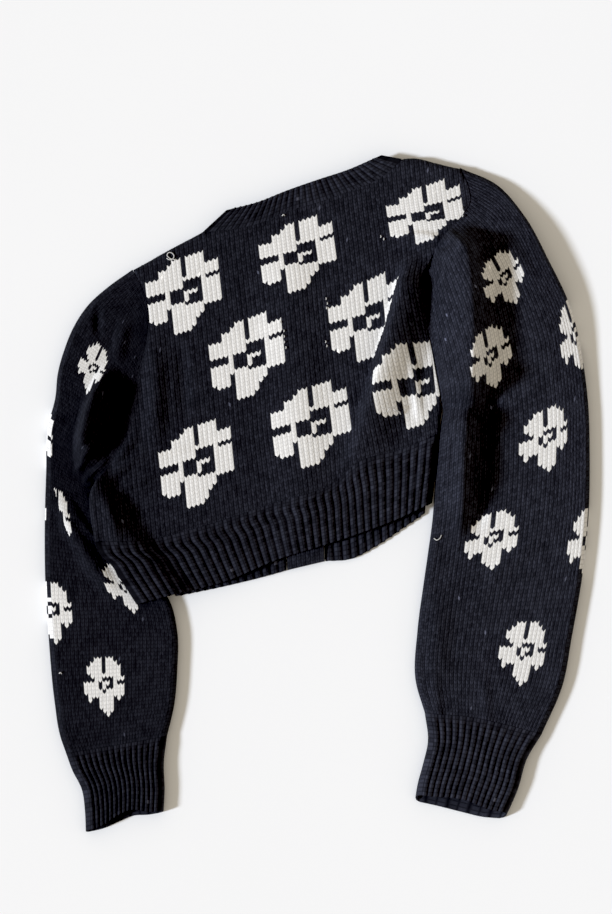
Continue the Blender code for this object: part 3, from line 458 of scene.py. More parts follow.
def patch_point(patch, s, v):
    """Plan points at share s across and v up a patch between four lines."""
    bottom, top = curve(patch.bottom, s), curve(patch.top, s)
    left, right = curve(patch.left, v), curve(patch.right, v)
    s, v = s[:, None], v[:, None]
    corners = (1 - v) * ((1 - s) * patch.bottom[0] + s * np.array(patch.bottom[-1], float))
    corners = corners + v * ((1 - s) * patch.top[0] + s * np.array(patch.top[-1], float))
    return (1 - v) * bottom + v * top + (1 - s) * left + s * right - corners


def patch_width(patch, v):
    """Distance between a patch's sides at shares up it."""
    return np.linalg.norm(patch_point(patch, 1.0 + 0 * v, v) - patch_point(patch, 0 * v, v), axis=1)


def spine_place(fold, x, y):
    """Signed distance from a fold's spine, positive on its right, share along it, and its left."""
    t = np.linspace(0.0, 1.0, SPINE_POINTS)[:, None]
    ends = np.array([[fold.x0, fold.y0], [fold.xm, fold.ym], [fold.x1, fold.y1]], float)
    spine = (1 - t) ** 2 * ends[0] + 2 * t * (1 - t) * ends[1] + t**2 * ends[2]
    lengths = line_steps(spine)
    along = np.concatenate([[0.0], np.cumsum(lengths)])
    best = np.full(x.shape, np.inf)
    found = np.zeros((4,) + x.shape)
    for index, step in enumerate(np.diff(spine, axis=0)):
        ahead_x, ahead_y = step / lengths[index]
        away_x = x - spine[index][0]
        away_y = y - spine[index][1]
        run = np.clip(away_x * ahead_x + away_y * ahead_y, 0.0, lengths[index])
        off_x = away_x - run * ahead_x
        off_y = away_y - run * ahead_y
        distance = np.hypot(off_x, off_y)
        nearer = distance < best
        best = np.where(nearer, distance, best)
        turn = np.where(ahead_x * off_y - ahead_y * off_x > 0, -1.0, 1.0)
        here = (turn * distance, (along[index] + run) / along[-1], -ahead_y, ahead_x)
        found = np.where(nearer, np.stack(np.broadcast_arrays(*here)), found)
    return found


def relief(x, y, owner):
    """Rise and sideways shift of cloth at plan points, from one owner's folds and the swells."""
    rise, shift_x, shift_y = np.zeros((3,) + x.shape)
    for swell in SWELLS:
        away = np.hypot((x - swell.x) / swell.radius_x, (y - swell.y) / swell.radius_y)
        rise = rise + swell.rise * smooth(1.0 - away)
    for fold in FOLDS.get(owner, ()):
        side, share, left_x, left_y = spine_place(fold, x, y)
        width = np.where(side < 0, fold.left, fold.right)
        bump = 0.5 + 0.5 * np.cos(np.pi * np.clip(np.abs(side) / width, 0.0, 1.0))
        bump = bump * smooth(share / fold.start) * smooth((1.0 - share) / fold.end)
        rise = rise + fold.rise * bump
        shift_x = shift_x + fold.lean * bump * left_x
        shift_y = shift_y + fold.lean * bump * left_y
    return rise, shift_x, shift_y


def laid(x, y, owner, loft, stay, lift=0.0):
    """Points of folded cloth over plan points. stay is the share of its height that it keeps."""
    rise, shift_x, shift_y = relief(x, y, owner)
    return np.stack([x + shift_x * stay, y + shift_y * stay, lift + (loft + rise) * stay], axis=-1)


def tuck_lift(x, y):
    """How far the back stands off the table where the left sleeve lies under it."""
    side = spine_place(TUCK_LINE, x, y)[0]
    over = smooth((side + TUCK_RAMP) / (TUCK_RAMP + TUCK_PAST))
    fade = smooth((TUCK_FADE_FROM - y) / TUCK_FADE_RUN)
    return (SLEEVE_LOFT + TUCK_CLEAR + relief(x, y, "sleeve_left")[0]) * over * fade


def lattice_normals(points):
    """Unit normals of a grid of points."""
    normals = np.cross(np.gradient(points, axis=1), np.gradient(points, axis=0))
    return normals / np.linalg.norm(normals, axis=2, keepdims=True)


def roll_inset(turn):
    """Distance in from a folded edge at shares of the half turn over it."""
    return EDGE_ROLL * (1 - np.sin(np.pi * turn))


def roll_height(turn):
    """The share of its height that the cloth keeps there: 1 on top and 0 on the table."""
    return 0.5 + 0.5 * np.cos(np.pi * turn)


def raise_over(points, height):
    """Points moved out along the normals of their grid."""
    return points + height[..., None] * lattice_normals(points)


def columns_of(*blocks):
    """Rows of values for a grid's columns, from blocks of columns that each give every value."""
    return np.concatenate([np.stack(np.broadcast_arrays(*block)) for block in blocks], axis=1)


def flattened(v, *columns):
    """The shares up a grid and its columns' values, each as one long row."""
    return [np.broadcast_to(item, v.shape).reshape(-1) for item in (v, *columns)]


def on_seams(v):
    """Shares up a piece, kept within it, with its first and last rows exactly on its ends."""
    v = np.clip(v, 0.0, 1.0)
    v[0] = 0.0
    v[-1] = 1.0
    return v


def row_shift(column):
    """How far up, in courses, a row line runs at a mesh column: legs climb from the middle out."""
    part = (column % LEG_COLUMNS) / LEG_COLUMNS
    return LEG_SLANT * np.abs(2.0 * part - 1.0)


def leg_rows(column, row, courses):
    """Shares up a piece of its mesh rows, with the slant of the stitches' legs."""
    return on_seams((row / LEG_ROWS + row_shift(column) - 0.5 * LEG_SLANT) / courses)


def leg_height(column, row):
    """Height of the stitches, 0 to 1, at mesh columns and rows."""
    part = (column % LEG_COLUMNS) / LEG_COLUMNS
    across = np.interp(part, LEG_PLACES, LEG_HEIGHTS)
    return across * np.where(row % LEG_ROWS == 1, 1.0, LEG_JOIN)


def closed_outline(stretches):
    """A closed outline from stretches of a line and its roll weight, run anticlockwise."""
    points = []
    weights = []
    for line, weight in stretches:
        count = max(2, int(line_steps(line).sum() / OUTLINE_STEP))
        points.append(curve(line, np.linspace(0.0, 1.0, count, endpoint=False)))
        weights.append(np.full(count, float(weight)))
    weights = np.concatenate(weights)
    spread = np.concatenate([weights[-OUTLINE_BLEND:], weights, weights[:OUTLINE_BLEND]])
    window = 2 * OUTLINE_BLEND + 1
    return np.concatenate(points), np.convolve(spread, np.full(window, 1.0 / window), mode="valid")


def to_outline(x, y, outline, weights):
    """Depth inside an outline, the nearest place on it, the way in and its roll weight there."""
    best = np.full(x.shape, np.inf)
    near = np.zeros(x.shape + (2,))
    way_in = np.zeros(x.shape + (2,))
    weight = np.zeros(x.shape)
    inside = np.zeros(x.shape, bool)
    following = (np.roll(outline, -1, axis=0), np.roll(weights, -1))
    for start, end, first, last in zip(outline, following[0], weights, following[1]):
        step = end - start
        length = max(np.hypot(*step), 1e-6)
        share = ((x - start[0]) * step[0] + (y - start[1]) * step[1]) / length**2
        share = np.clip(share, 0.0, 1.0)
        at = start + share[..., None] * step
        away = np.hypot(x - at[..., 0], y - at[..., 1])
        nearer = away < best
        best = np.where(nearer, away, best)
        near[nearer] = at[nearer]
        way_in[nearer] = (-step[1] / length, step[0] / length)
        weight = np.where(nearer, first + share * (last - first), weight)
        if start[1] != end[1]:
            crossing = (start[1] > y) != (end[1] > y)
            inside ^= crossing & (x < start[0] + (y - start[1]) * step[0] / (end[1] - start[1]))
    return np.where(inside, best, -best), near, way_in, weight


def flower_marks(stitches, plan, chart, centres, owner):
    """1 for each face that a flower colours cream, else 0. Each centre stitch has one chart."""
    wales, courses = stitches
    rows = np.array([[mark == "#" for mark in row] for row in chart])
    marks = np.zeros(wales.shape, bool)
    for flower, (wale, course) in enumerate(centres):
        over = wales - wale + rows.shape[1] // 2
        down = course + rows.shape[0] // 2 - courses
        inside = (over >= 0) & (over < rows.shape[1]) & (down >= 0) & (down < rows.shape[0])
        cream = np.zeros(wales.shape, bool)
        cream[inside] = rows[down[inside], over[inside]]
        for cut in CUTS:
            if (cut.owner, cut.flower) == (owner, flower):
                line = np.array(cut.line, float)
                edge = np.interp(plan[..., 1], line[:, 1], line[:, 0])
                cream &= (plan[..., 0] - edge) * cut.side > 0
        marks |= cream
    return marks.astype(int)


def knit_grid(points, uv, keep=None, cream=None, flip=False):
    """A bmesh grid moved to the given points, with its knit coordinates as a UV map."""
    rows, columns = points.shape[:2]
    bm = bmesh.new()
    bmesh.ops.create_grid(bm, x_segments=columns - 1, y_segments=rows - 1, size=0.5)
    place = bm.verts.layers.int.new("place")
    for index, (vert, point) in enumerate(zip(bm.verts, points.reshape(-1, 3) * MM)):
        vert.co = point
        vert[place] = index
    if cream is not None:
        for face, colour in zip(bm.faces, cream.reshape(-1)):
            face.material_index = int(colour)
    uv_layer = bm.loops.layers.uv.new("knit")
    flat_uv = uv.reshape(-1, 2)
    for face in bm.faces:
        for loop in face.loops:
            loop[uv_layer].uv = flat_uv[loop.vert[place]]
    if keep is not None:
        gone = [face for face, stays in zip(bm.faces, keep.reshape(-1)) if not stays]
        bmesh.ops.delete(bm, geom=gone, context="FACES")
    if flip:
        bmesh.ops.reverse_faces(bm, faces=bm.faces[:])
    return bm, place


def mesh_object(name, bm, *materials):
    """Turns a bmesh into an object of the scene."""
    mesh = bpy.data.meshes.new(name)
    bm.to_mesh(mesh)
    bm.free()
    for material in materials:
        mesh.materials.append(material)
    made = bpy.data.objects.new(name, mesh)
    bpy.context.scene.collection.objects.link(made)
    return made


def finish_cloth(bm, node, kind, slot, wall, *yarns):
    """Turns a bmesh into a cloth of the given wall that stands for a CAD node."""
    for edge in bm.edges:
        if edge.is_boundary:
            edge.smooth = False  # else the rim darkens the face beside it
    cloth = mesh_object(f"{node}_{kind}", bm, *(yarn_material(yarn) for yarn in yarns))
    cloth.data.shade_smooth()
    shell = cloth.modifiers.new("cloth wall", "SOLIDIFY")
    shell.thickness = wall * MM
    shell.offset = -1.0
    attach(cloth, "root")
    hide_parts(node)


def faces_of(values):
    """For each grid face, whether any of its four corners is set."""
    return values[:-1, :-1] | values[1:, :-1] | values[:-1, 1:] | values[1:, 1:]


def body_place(plan, depth, weight):
    """Points of the body's cloth over plan points that lie at a depth inside its folded edge."""
    x, y = plan[..., 0], plan[..., 1]
    short = 1.0 - np.clip(depth / EDGE_ROLL, 0.0, 1.0)
    stay = 1.0 - 0.5 * weight * (1.0 - np.sqrt(1.0 - short**2))
    return laid(x, y, "body", BODY_LOFT, stay, tuck_lift(x, y))


def table_place(plan, depth, weight):
    """Points of a knitted cloth that lies on the table."""
    return np.stack([plan[..., 0], plan[..., 1], 0.0 * depth + KNIT_WALL], axis=-1)


def knitted_panel(outline, weights, knit, place_points, raised):
    """Grid of a panel cut from straight knitting, on the slanted wales and courses of the body."""
    across = np.array([math.cos(knit.course_turn), math.sin(knit.course_turn)]) * knit.wale / MM
    up = np.array([-math.sin(knit.wale_turn), math.cos(knit.wale_turn)]) * knit.course / MM
    reach = np.linalg.solve(np.array([across, up]).T, outline.T)
    low = np.floor(reach.min(axis=1)).astype(int) - 1
    high = np.ceil(reach.max(axis=1)).astype(int) + 1
    column = np.arange(low[0] * LEG_COLUMNS, high[0] * LEG_COLUMNS + 1)[None, :]
    row = np.arange(low[1] * LEG_ROWS, high[1] * LEG_ROWS + 1)[:, None]
    wale, course = np.broadcast_arrays(column / LEG_COLUMNS, row / LEG_ROWS)
    drawn = course + row_shift(column)
    plan = stretched(wale[..., None] * across + drawn[..., None] * up, "body")
    depth, near, way_in, weight = to_outline(plan[..., 0], plan[..., 1], outline, weights)
    inside = depth > SNAP
    normals = lattice_normals(place_points(plan, np.maximum(depth, 0.0), weight))
    cut = np.where(inside[..., None], plan, near)
    height = raised * leg_height(column, row) * smooth(depth / EDGE_FADE) - 0.5 * raised
    points = place_points(cut, np.where(inside, depth, 0.0), weight) + height[..., None] * normals
    edge = near.reshape(-1, 2), way_in.reshape(-1, 2), weight.reshape(-1)
    return points, np.stack([wale, course], axis=-1), faces_of(inside), plan, edge


def stitches_of(uv):
    """The wale and the course of each grid face."""
    return np.moveaxis(np.floor(uv[:-1, :-1]).astype(int), -1, 0)


def stretched(plan, owner):
    """Plan points moved by the places where the knitting is stretched or squeezed."""
    moved = plan.copy()
    for place in (item for item in STRETCHES if item.owner == owner):
        away = plan - np.array([place.x, place.y], float)
        near = np.exp(-(away[..., 0] ** 2 + away[..., 1] ** 2) / place.reach**2)
        moved += (np.array([place.across, place.up]) - 1.0) * away * near[..., None]
    return moved


def nearest_stitches(plan, uv, targets):
    """The stitches whose plan points lie nearest to the targets, moved out by whole wales."""
    found = []
    for x, y, further in targets:
        away = np.hypot(plan[..., 0] - x, plan[..., 1] - y)
        wale, course = uv[np.unravel_index(np.argmin(away), away.shape)]
        found.append((int(wale) + further, int(course)))
    return found


def turn_edges_under(bm, place, edge):
    """Carries the cloth on round its folded edges and back under itself."""
    near, way_in, weights = edge
    rolled = {
        vert for vert in bm.verts if vert.is_boundary and weights[vert[place]] > ROLL_FROM
    }
    edges = [item for item in bm.edges if item.is_boundary and set(item.verts) <= rolled]
    for turn in UNDER_TURNS:
        made = bmesh.ops.extrude_edge_only(bm, edges=edges)["geom"]
        verts = [item for item in made if isinstance(item, bmesh.types.BMVert)]
        edges = [item for item in made if isinstance(item, bmesh.types.BMEdge)]
        where = np.array([vert[place] for vert in verts])
        turned = 0.5 + (turn - 0.5) * weights[where]
        x, y = near[where].T
        moved = laid(x, y, "body", BODY_LOFT, roll_height(turned), tuck_lift(x, y))
        moved[:, :2] += roll_inset(turned)[:, None] * way_in[where]
        moved[:, 2] = np.maximum(moved[:, 2], KNIT_WALL)
        for vert, point in zip(verts, moved * MM):
            vert.co = point
    bmesh.ops.recalc_face_normals(bm, faces=bm.faces[:])
    if sum(face.normal.z for face in bm.faces) < 0:
        bmesh.ops.reverse_faces(bm, faces=bm.faces[:])


def rib_columns(ribs):
    """Shares along a band of its mesh columns, and how far each lies from the middle of its rib."""
    share = np.linspace(0.0, 1.0, ribs * RIB_COLUMNS + 1)
    return share, np.abs(2.0 * ((share * ribs) % 1.0) - 1.0)


def rib_rows(courses, dip):
    """Shares up a band of its mesh rows, with each row line dipping at the middle of every rib."""
    rows = courses * RIB_ROWS
    v = np.arange(rows + 1)[:, None] / rows
    return on_seams(v + RIB_SLANT * (dip - 0.5)[None, :] / courses)


def rib_height(share, ribs, rows):
    """Height of rounded ribs, with narrow valleys between them and stitches on their crests."""
    valley = np.abs(np.cos(np.pi * ribs * share))
    plump = (np.arange(rows) % RIB_ROWS == 1)[:, None]
    return RIB_SHOWN * (1.0 - valley**RIB_SHARP) + RIB_STITCH * plump * (1.0 - valley**2)


def ribbed_top(patch, ribs, courses, wrap, shown=1.0, fade_up=True):
    """Points and knit coordinates of a ribbed band on top of the body.

    Its ends are rolled under where wrap is 1, and stop short of their lines where it is 0.
    """
    share, middle = rib_columns(ribs)
    share_u, left_turn, right_turn, dip = columns_of(
        (0.0, TURN[::-1], 0.0, 1.0), (share, 0.0, 0.0, middle), (1.0, 0.0, TURN, 1.0),
    )
    v = rib_rows(courses, dip)
    shape = v.shape
    v, u, left_turn, right_turn = flattened(v, share_u, left_turn, right_turn)
    width = patch_width(patch, v)
    low, high = (
        np.where(turn > 0, (1 - wrap) * EDGE_ROLL * (1 - turn) + wrap * roll_inset(turn), EDGE_ROLL)
        for turn in (left_turn, right_turn)
    )
    flat_run = (low + u * (width - low - high)) / width
    s = np.where(left_turn > 0, low / width, np.where(right_turn > 0, 1 - high / width, flat_run))
    x, y = patch_point(patch, s, v).T
    stay = roll_height((left_turn + right_turn) * wrap)
    points = laid(x, y, "body", BODY_LOFT, stay, tuck_lift(x, y)).reshape(shape + (3,))
    from_seam = (1.0 - v if fade_up else v).reshape(shape) * courses
    points = raise_over(
        points, shown * rib_height(share_u, ribs, shape[0]) * smooth(from_seam / RIB_FADE)
    )
    return points, np.stack([u * ribs, v * courses], axis=1).reshape(shape + (2,))


def slab_points(patch, share, v, wall, gaps, under):
    """Upper points of a piece that lies on the table, from shares across and up its patch."""
    shape = v.shape
    v, u = flattened(v, share)
    ends = patch_point(patch, np.array([0.0, 1.0, 0.5, 0.5]), np.array([0.5, 0.5, 0.0, 1.0]))
    width = np.linalg.norm(ends[1] - ends[0])
    height = np.linalg.norm(ends[3] - ends[2])
    s = (gaps[0] + u * (width - gaps[0] - gaps[1])) / width
    t = (gaps[2] + v * (height - gaps[2] - gaps[3])) / height
    x, y = patch_point(patch, s, t).T
    return np.stack([x, y, under(x, y) + wall], axis=1).reshape(shape + (3,))


def tube_shares(patch, v, u, under, inner_turn, low, outer_turn):
    """Shares across a patch of a flattened tube's columns. Its inner edge turns at insets low."""
    width = patch_width(patch, v)
    s = (EDGE_ROLL + u * (width - 2 * EDGE_ROLL)) / width
    s = np.where(inner_turn > 0, low / width, s)
    return np.where((outer_turn > 0) & (under == 0), 1 - roll_inset(outer_turn) / width, s)


def sleeve_points(patch, wales, courses, owner, underarm, facing, raised):
    """Points and knit coordinates of a sleeve, cut as one panel.

    Its columns run from the inner seam over the top, round the outer edge, and back along the table
    to the inner seam. Above the underarm the seam edges part and become the armhole.
    """
    top = np.arange(wales * LEG_COLUMNS + 1)
    share, outer_turn, inner_turn, under, on_top = columns_of(
        (0.0, 0.0, SEAM_TURN, 0.0, 0.0),
        (top / top[-1], 0.0, 0.0, 0.0, 1.0),
        (1.0, TURN[:-1], 0.0, 0.0, 0.0),
        (np.linspace(1.0, 0.0, SLEEVE_UNDER_COLUMNS), 1.0, 0.0, 1.0, 0.0),
        (0.0, 1.0, SEAM_TURN[::-1], 1.0, 0.0),
    )
    before = len(SEAM_TURN)
    after = len(share) - before - len(top)
    column = np.concatenate([
        np.arange(-before, 0) * LEG_COLUMNS, top, top[-1] + np.arange(1, after + 1) * LEG_COLUMNS,
    ])
    row = np.arange(courses * LEG_ROWS + 1)[:, None]
    v = leg_rows(column, row, courses)
    shape = v.shape
    v, u, outer_turn, inner_turn, under = flattened(v, share, outer_turn, inner_turn, under)
    weight = smooth((underarm - v) / UNDERARM_BLEND + 0.5)
    straight = EDGE_ROLL * (1 - inner_turn / SEAM_TURN[0])
    low = (1 - weight) * straight + weight * roll_inset(inner_turn)
    s = tube_shares(patch, v, u, under, inner_turn, low, outer_turn)
    x, y = stretched(patch_point(patch, s, v), owner).T
    rise, shift_x, shift_y = relief(x, y, owner)
    body_rise, body_x, body_y = relief(x, y, "body")
    sewn = smooth(inner_turn / SEAM_TURN[0]) * (1 - weight)
    rise = rise + sewn * (BODY_LOFT - SLEEVE_LOFT - SEAM_SINK + body_rise - rise)
    shift_x = shift_x + sewn * (body_x - shift_x)
    shift_y = shift_y + sewn * (body_y - shift_y)
    turn = np.where(under > 0, 1 - inner_turn * weight, outer_turn + inner_turn * weight)
    stay = roll_height(turn)
    points = np.stack([x + shift_x * stay, y + shift_y * stay, (SLEEVE_LOFT + rise) * stay], axis=1)
    points = raise_over(
        points.reshape(shape + (3,)), facing * raised * (leg_height(column, row) - 0.5) * on_top
    )
    points[-1] += SEAM_TUCKED * unit(points[-1] - points[-2])
    opened = (1 - weight).reshape(shape)[:, :1] * SEAM_TUCKED
    points[:, 0] += opened * unit(points[:, 0] - points[:, 1])
    uv = np.stack(np.broadcast_arrays(column / LEG_COLUMNS, row / LEG_ROWS), axis=-1)
    return points, uv, np.where(on_top[None, :, None] > 0, points[..., :2], FAR_AWAY)


def cuff_points(patch, ribs, courses, owner, reach):
    """Points and knit coordinates of a flat ribbed tube. Its lower layer is longer by reach."""
    share, middle = rib_columns(ribs)
    share_u, right, left, under, dip = columns_of(
        (share, 0.0, 0.0, 0.0, middle),
        (1.0, TURN[:-1], 0.0, 0.0, 1.0),
        (np.linspace(1.0, 0.0, ribs * 2 + 1), 1.0, 0.0, 1.0, 1.0),
        (0.0, 0.0, TURN[-2::-1], 0.0, 1.0),
        (share[:1], 0.0, 0.0, 0.0, middle[:1]),
    )
    v = rib_rows(courses, dip)
    shape = v.shape
    upper = 1 - under
    inner_rib = np.zeros(shape[1])
    first = len(share) + len(TURN)
    inner_rib[first:first + ribs * 2:2] = MOUTH_RIB
    v, u, right, left, under = flattened(v, share_u, right, left, under)
    s = tube_shares(patch, v, u, under, left, roll_inset(left), right)
    plan = patch_point(patch, s, v)
    down = unit(patch_point(patch, s, 0 * s) - patch_point(patch, s, 0 * s + DIRECTION_STEP))
    rise = relief(plan[:, 0], plan[:, 1], owner)[0]
    stay = roll_height(np.where(under > 0, 1.0, right + left))
    arch = MOUTH_ARCH * np.sin(np.pi * u) ** 2 * stay
    plan = plan + down * ((reach * (1 - stay) - arch) * smooth(1 - v / MOUTH_SHARE))[:, None]
    ribbed = smooth((1.0 - v) * courses / RIB_FADE)
    z = (SLEEVE_LOFT + CUFF_RAISED * ribbed + rise) * stay
    points = np.column_stack([plan, z]).reshape(shape + (3,))
    v = v.reshape(shape)
    points = raise_over(
        points, rib_height(share_u, ribs, shape[0]) * upper * ribbed.reshape(shape)
    )
    points[..., 2] += inner_rib * smooth(1.0 - v * courses / MOUTH_DEPTH)
    points[:, -1] = points[:, 0]
    wale = np.broadcast_to(np.arange(shape[1]) / RIB_COLUMNS, shape)
    return points, np.stack([wale, v * courses], axis=-1)


def on_table(x, y):
    return np.zeros(np.shape(x))


def over_buttons(x, y):
    """The band rises over each button that lies under it."""
    where = np.linspace(*BUTTON_SPAN, BUTTON_COUNT)
    rise = on_table(x, y)
    for centre in 0.5 * (curve(BAND_LEFT_LINE, where) + curve(BAND_RIGHT_LINE, where)):
        away = np.hypot(x - centre[0], y - centre[1])
        near = smooth((BUTTON_RADIUS + BUTTON_EASE - away) / BUTTON_SLOPE)
        rise = np.maximum(rise, (BUTTON_THICK + SEAM_GAP) * near)
    return rise


def on_lower_band(x, y):
    return over_buttons(x, y) + BAND_WALL + SEAM_GAP


def set_inputs(tree, node, inputs):
    """Sets a node's inputs to values, or links them to the sockets that feed them."""
    for name, value in inputs.items():
        if isinstance(value, bpy.types.NodeSocket):
            tree.links.new(value, node.inputs[name])
        else:
            node.inputs[name].default_value = value


def add_node(tree, kind, inputs, **settings):
    """A shader node with its settings and inputs."""
    node = tree.nodes.new(f"ShaderNode{kind}")
    for name, value in settings.items():
        setattr(node, name, value)
    set_inputs(tree, node, inputs)
    return node


def calculate(tree, operation, first, second=0.0):
    """The output of a Math node on sockets and numbers."""
    return add_node(tree, "Math", {0: first, 1: second}, operation=operation).outputs[0]


def noise_of(tree, place, scale, detail):
    """A socket with soft noise from 0 to 1."""
    inputs = {"Vector": place, "Scale": scale, "Detail": detail}
    return add_node(tree, "TexNoise", inputs).outputs["Fac"]


def yarn_group():
    """Shader group of yarn: twisted plies, loose fibres, uneven dye, lint, painted shade in the
    grooves, and a painted light ramp that darkens the left and lightens the right.
    """
    name = "yarn surface"
    if name in bpy.data.node_groups:
        return bpy.data.node_groups[name]
    group = bpy.data.node_groups.new(name, "ShaderNodeTree")
    for labels, in_out, kind in (
        ("Stitch Place", "INPUT", "Vector"), ("Ply Fibre Uneven Groove Nap", "INPUT", "Float"),
        ("Height Shade", "OUTPUT", "Float"),
    ):
        for label in labels.split():
            group.interface.new_socket(name=label, in_out=in_out, socket_type=f"NodeSocket{kind}")
    start = group.nodes.new("NodeGroupInput").outputs
    stitch, place = start["Stitch"], start["Place"]
    turned = add_node(group, "Mapping", {
        "Vector": stitch, "Rotation": (0.0, 0.0, math.radians(PLY_TWIST)), "Scale": (2.0, 4.0, 1.0),
    }).outputs["Vector"]
    plies = add_node(group, "TexWave", {
        "Vector": turned, "Scale": 0.7, "Distortion": 1.2, "Detail": 1.0,
    }, wave_profile="SIN").outputs["Fac"]
    fibre, dye = (noise_of(group, place, *noise) for noise in (FIBRE_NOISE, DYE_NOISE))
    halves = add_node(group, "VectorMath", {0: stitch, 1: (2.0, 1.0, 1.0)}, operation="MULTIPLY")
    whole = add_node(group, "VectorMath", {0: halves.outputs["Vector"]}, operation="FLOOR")
    leg = add_node(
        group, "TexWhiteNoise", {"Vector": whole.outputs["Vector"]}, noise_dimensions="2D"
    ).outputs["Value"]

    def calc(operation, first, second=0.0):
        return calculate(group, operation, first, second)

    height = calc("MULTIPLY", plies, start["Ply"])
    height = calc("ADD", height, calc("MULTIPLY", fibre, start["Fibre"]))
    uneven = calc("MULTIPLY", calc("GREATER_THAN", leg, LINT_ABOVE), LINT_LIGHT)
    for noise in (leg, dye, fibre):
        uneven = calc("ADD", uneven, calc("SUBTRACT", noise, 0.5))
    # Painted light and shade: the yarn colour is made darker to the left and lighter to the right,
    # as if more light fell on the right side.
    across = add_node(group, "SeparateXYZ", {"Vector": place}).outputs["X"]
    nap = calc("ADD", calc("MULTIPLY", across, start["Nap"]), 1.0)
    shade = calc("MULTIPLY", calc("ADD", calc("MULTIPLY", uneven, start["Uneven"]), 1.0), nap)
    # Painted shade: the yarn colour is darkened in the grooves, where shade falls between stitches.
    groove_darkening = calc("MULTIPLY", painted_groove_shade(group, stitch), start["Groove"])
    shade = calc("MULTIPLY", shade, calc("SUBTRACT", 1.0, groove_darkening))
    set_inputs(group, group.nodes.new("NodeGroupOutput"), {"Height": height, "Shade": shade})
    return group


def painted_groove_shade(tree, stitch):
    """A socket of painted shade for the grooves: 1 between two wales, and less between a stitch's
    legs and at its ends.
    """
    parts = add_node(tree, "SeparateXYZ", {"Vector": stitch}).outputs
    darkest_shade = 0.0
    for groove in PAINTED_GROOVE_SHADES:
        part = calculate(tree, "MULTIPLY", parts[groove.axis], groove.repeats)
        part = calculate(tree, "SUBTRACT", calculate(tree, "FRACT", part), 0.5)
        away = calculate(tree, "ABSOLUTE", part)
        ramp = add_node(tree, "MapRange", {
            "Value": away, "From Min": groove.start, "From Max": 0.5, "To Max": groove.deep,
        }, interpolation_type="SMOOTHSTEP")
        darkest_shade = calculate(tree, "MAXIMUM", ramp.outputs["Result"], darkest_shade)
    return darkest_shade


def place_of(tree):
    return add_node(tree, "TexCoord", {}).outputs["Object"]


def new_material(name, inputs):
    """A material, its node tree and its shader, with the shader's inputs set."""
    material = bpy.data.materials.new(name)
    material.use_nodes = True
    tree = material.node_tree
    shader = tree.nodes["Principled BSDF"]
    set_inputs(tree, shader, inputs)
    return material, tree, shader


def yarn_material(colour):
    """Yarn of one colour. Its stitches are in the mesh: the bump holds only plies and fibres."""
    name = f"{colour} yarn"
    if name in bpy.data.materials:
        return bpy.data.materials[name]
    look = YARNS[colour]
    material, tree, shader = new_material(name, {
        "Roughness": look.roughness, "Specular IOR Level": look.specular,
        "Sheen Weight": look.sheen, "Sheen Roughness": 0.5,
    })
    yarn = tree.nodes.new("ShaderNodeGroup")
    yarn.node_tree = yarn_group()
    stitch = add_node(tree, "UVMap", {}, uv_map="knit").outputs["UV"]
    set_inputs(tree, yarn, {
        "Stitch": stitch, "Place": place_of(tree), "Ply": look.ply, "Fibre": look.fibre,
        "Uneven": look.uneven, "Groove": look.groove, "Nap": look.nap,
    })
    # The base colour carries the painted shade of the grooves and the painted light ramp across the
    # cloth.
    tint = add_node(tree, "Mix", {
        "Factor": 1.0, "A": (*getattr(bpy.context.scene.cardigan_colours, colour), 1.0),
        "B": yarn.outputs["Shade"],
    }, data_type="RGBA", blend_type="MULTIPLY")
    bump = add_node(tree, "Bump", {
        "Strength": look.bump, "Distance": YARN_BUMP, "Height": yarn.outputs["Height"],
    })
    set_inputs(tree, shader, {
        "Base Color": tint.outputs["Result"], "Normal": bump.outputs["Normal"],
    })
    return material


def clouded_material(name, inputs, noise, first, second):
    """A material whose colour drifts between two, over a noise."""
    material, tree, shader = new_material(name, inputs)
    tones = add_node(tree, "Mix", {
        "Factor": noise_of(tree, place_of(tree), *noise), "A": (*first, 1.0), "B": (*second, 1.0),
    }, data_type="RGBA")
    set_inputs(tree, shader, {"Base Color": tones.outputs["Result"]})
    return material


def length_setting(name, description, default, low, high):
    return FloatProperty(
        name=name, description=description, default=default, min=low, max=high, unit="LENGTH"
    )


def angle_setting(name, description, degrees):
    return FloatProperty(
        name=name, description=description, default=math.radians(degrees), subtype="ANGLE"
    )


def colour_setting(name, description, default):
    return FloatVectorProperty(
        name=name, description=description, default=default, subtype="COLOR", min=0.0, max=1.0
    )


class KnitSettings(bpy.types.PropertyGroup):
    wale: length_setting("Wale", "Width of a stitch", 0.0048, 0.002, 0.01)
    course: length_setting("Course", "Height of a stitch", 0.0039, 0.002, 0.01)
    raised: length_setting("Stitch relief", "How far a stitch's legs stand out", 0.0007, 0.0, 0.002)
    wall: length_setting("Cloth wall", "Thickness of a knitted cloth", 0.0016, 0.0005, 0.003)
    course_turn: angle_setting("Course direction", "Turn of the courses on the back", 17)
    wale_turn: angle_setting("Wale lean", "Lean of the wales on the back to the left", 6)


class ColourSettings(bpy.types.PropertyGroup):
    navy: colour_setting("Navy yarn", "Ground colour", (0.0236, 0.0250, 0.0345))
    cream: colour_setting("Cream yarn", "Colour of the flowers", (0.82, 0.80, 0.77))
    table: colour_setting("Table", "Colour of the table top", (0.85, 0.85, 0.85))


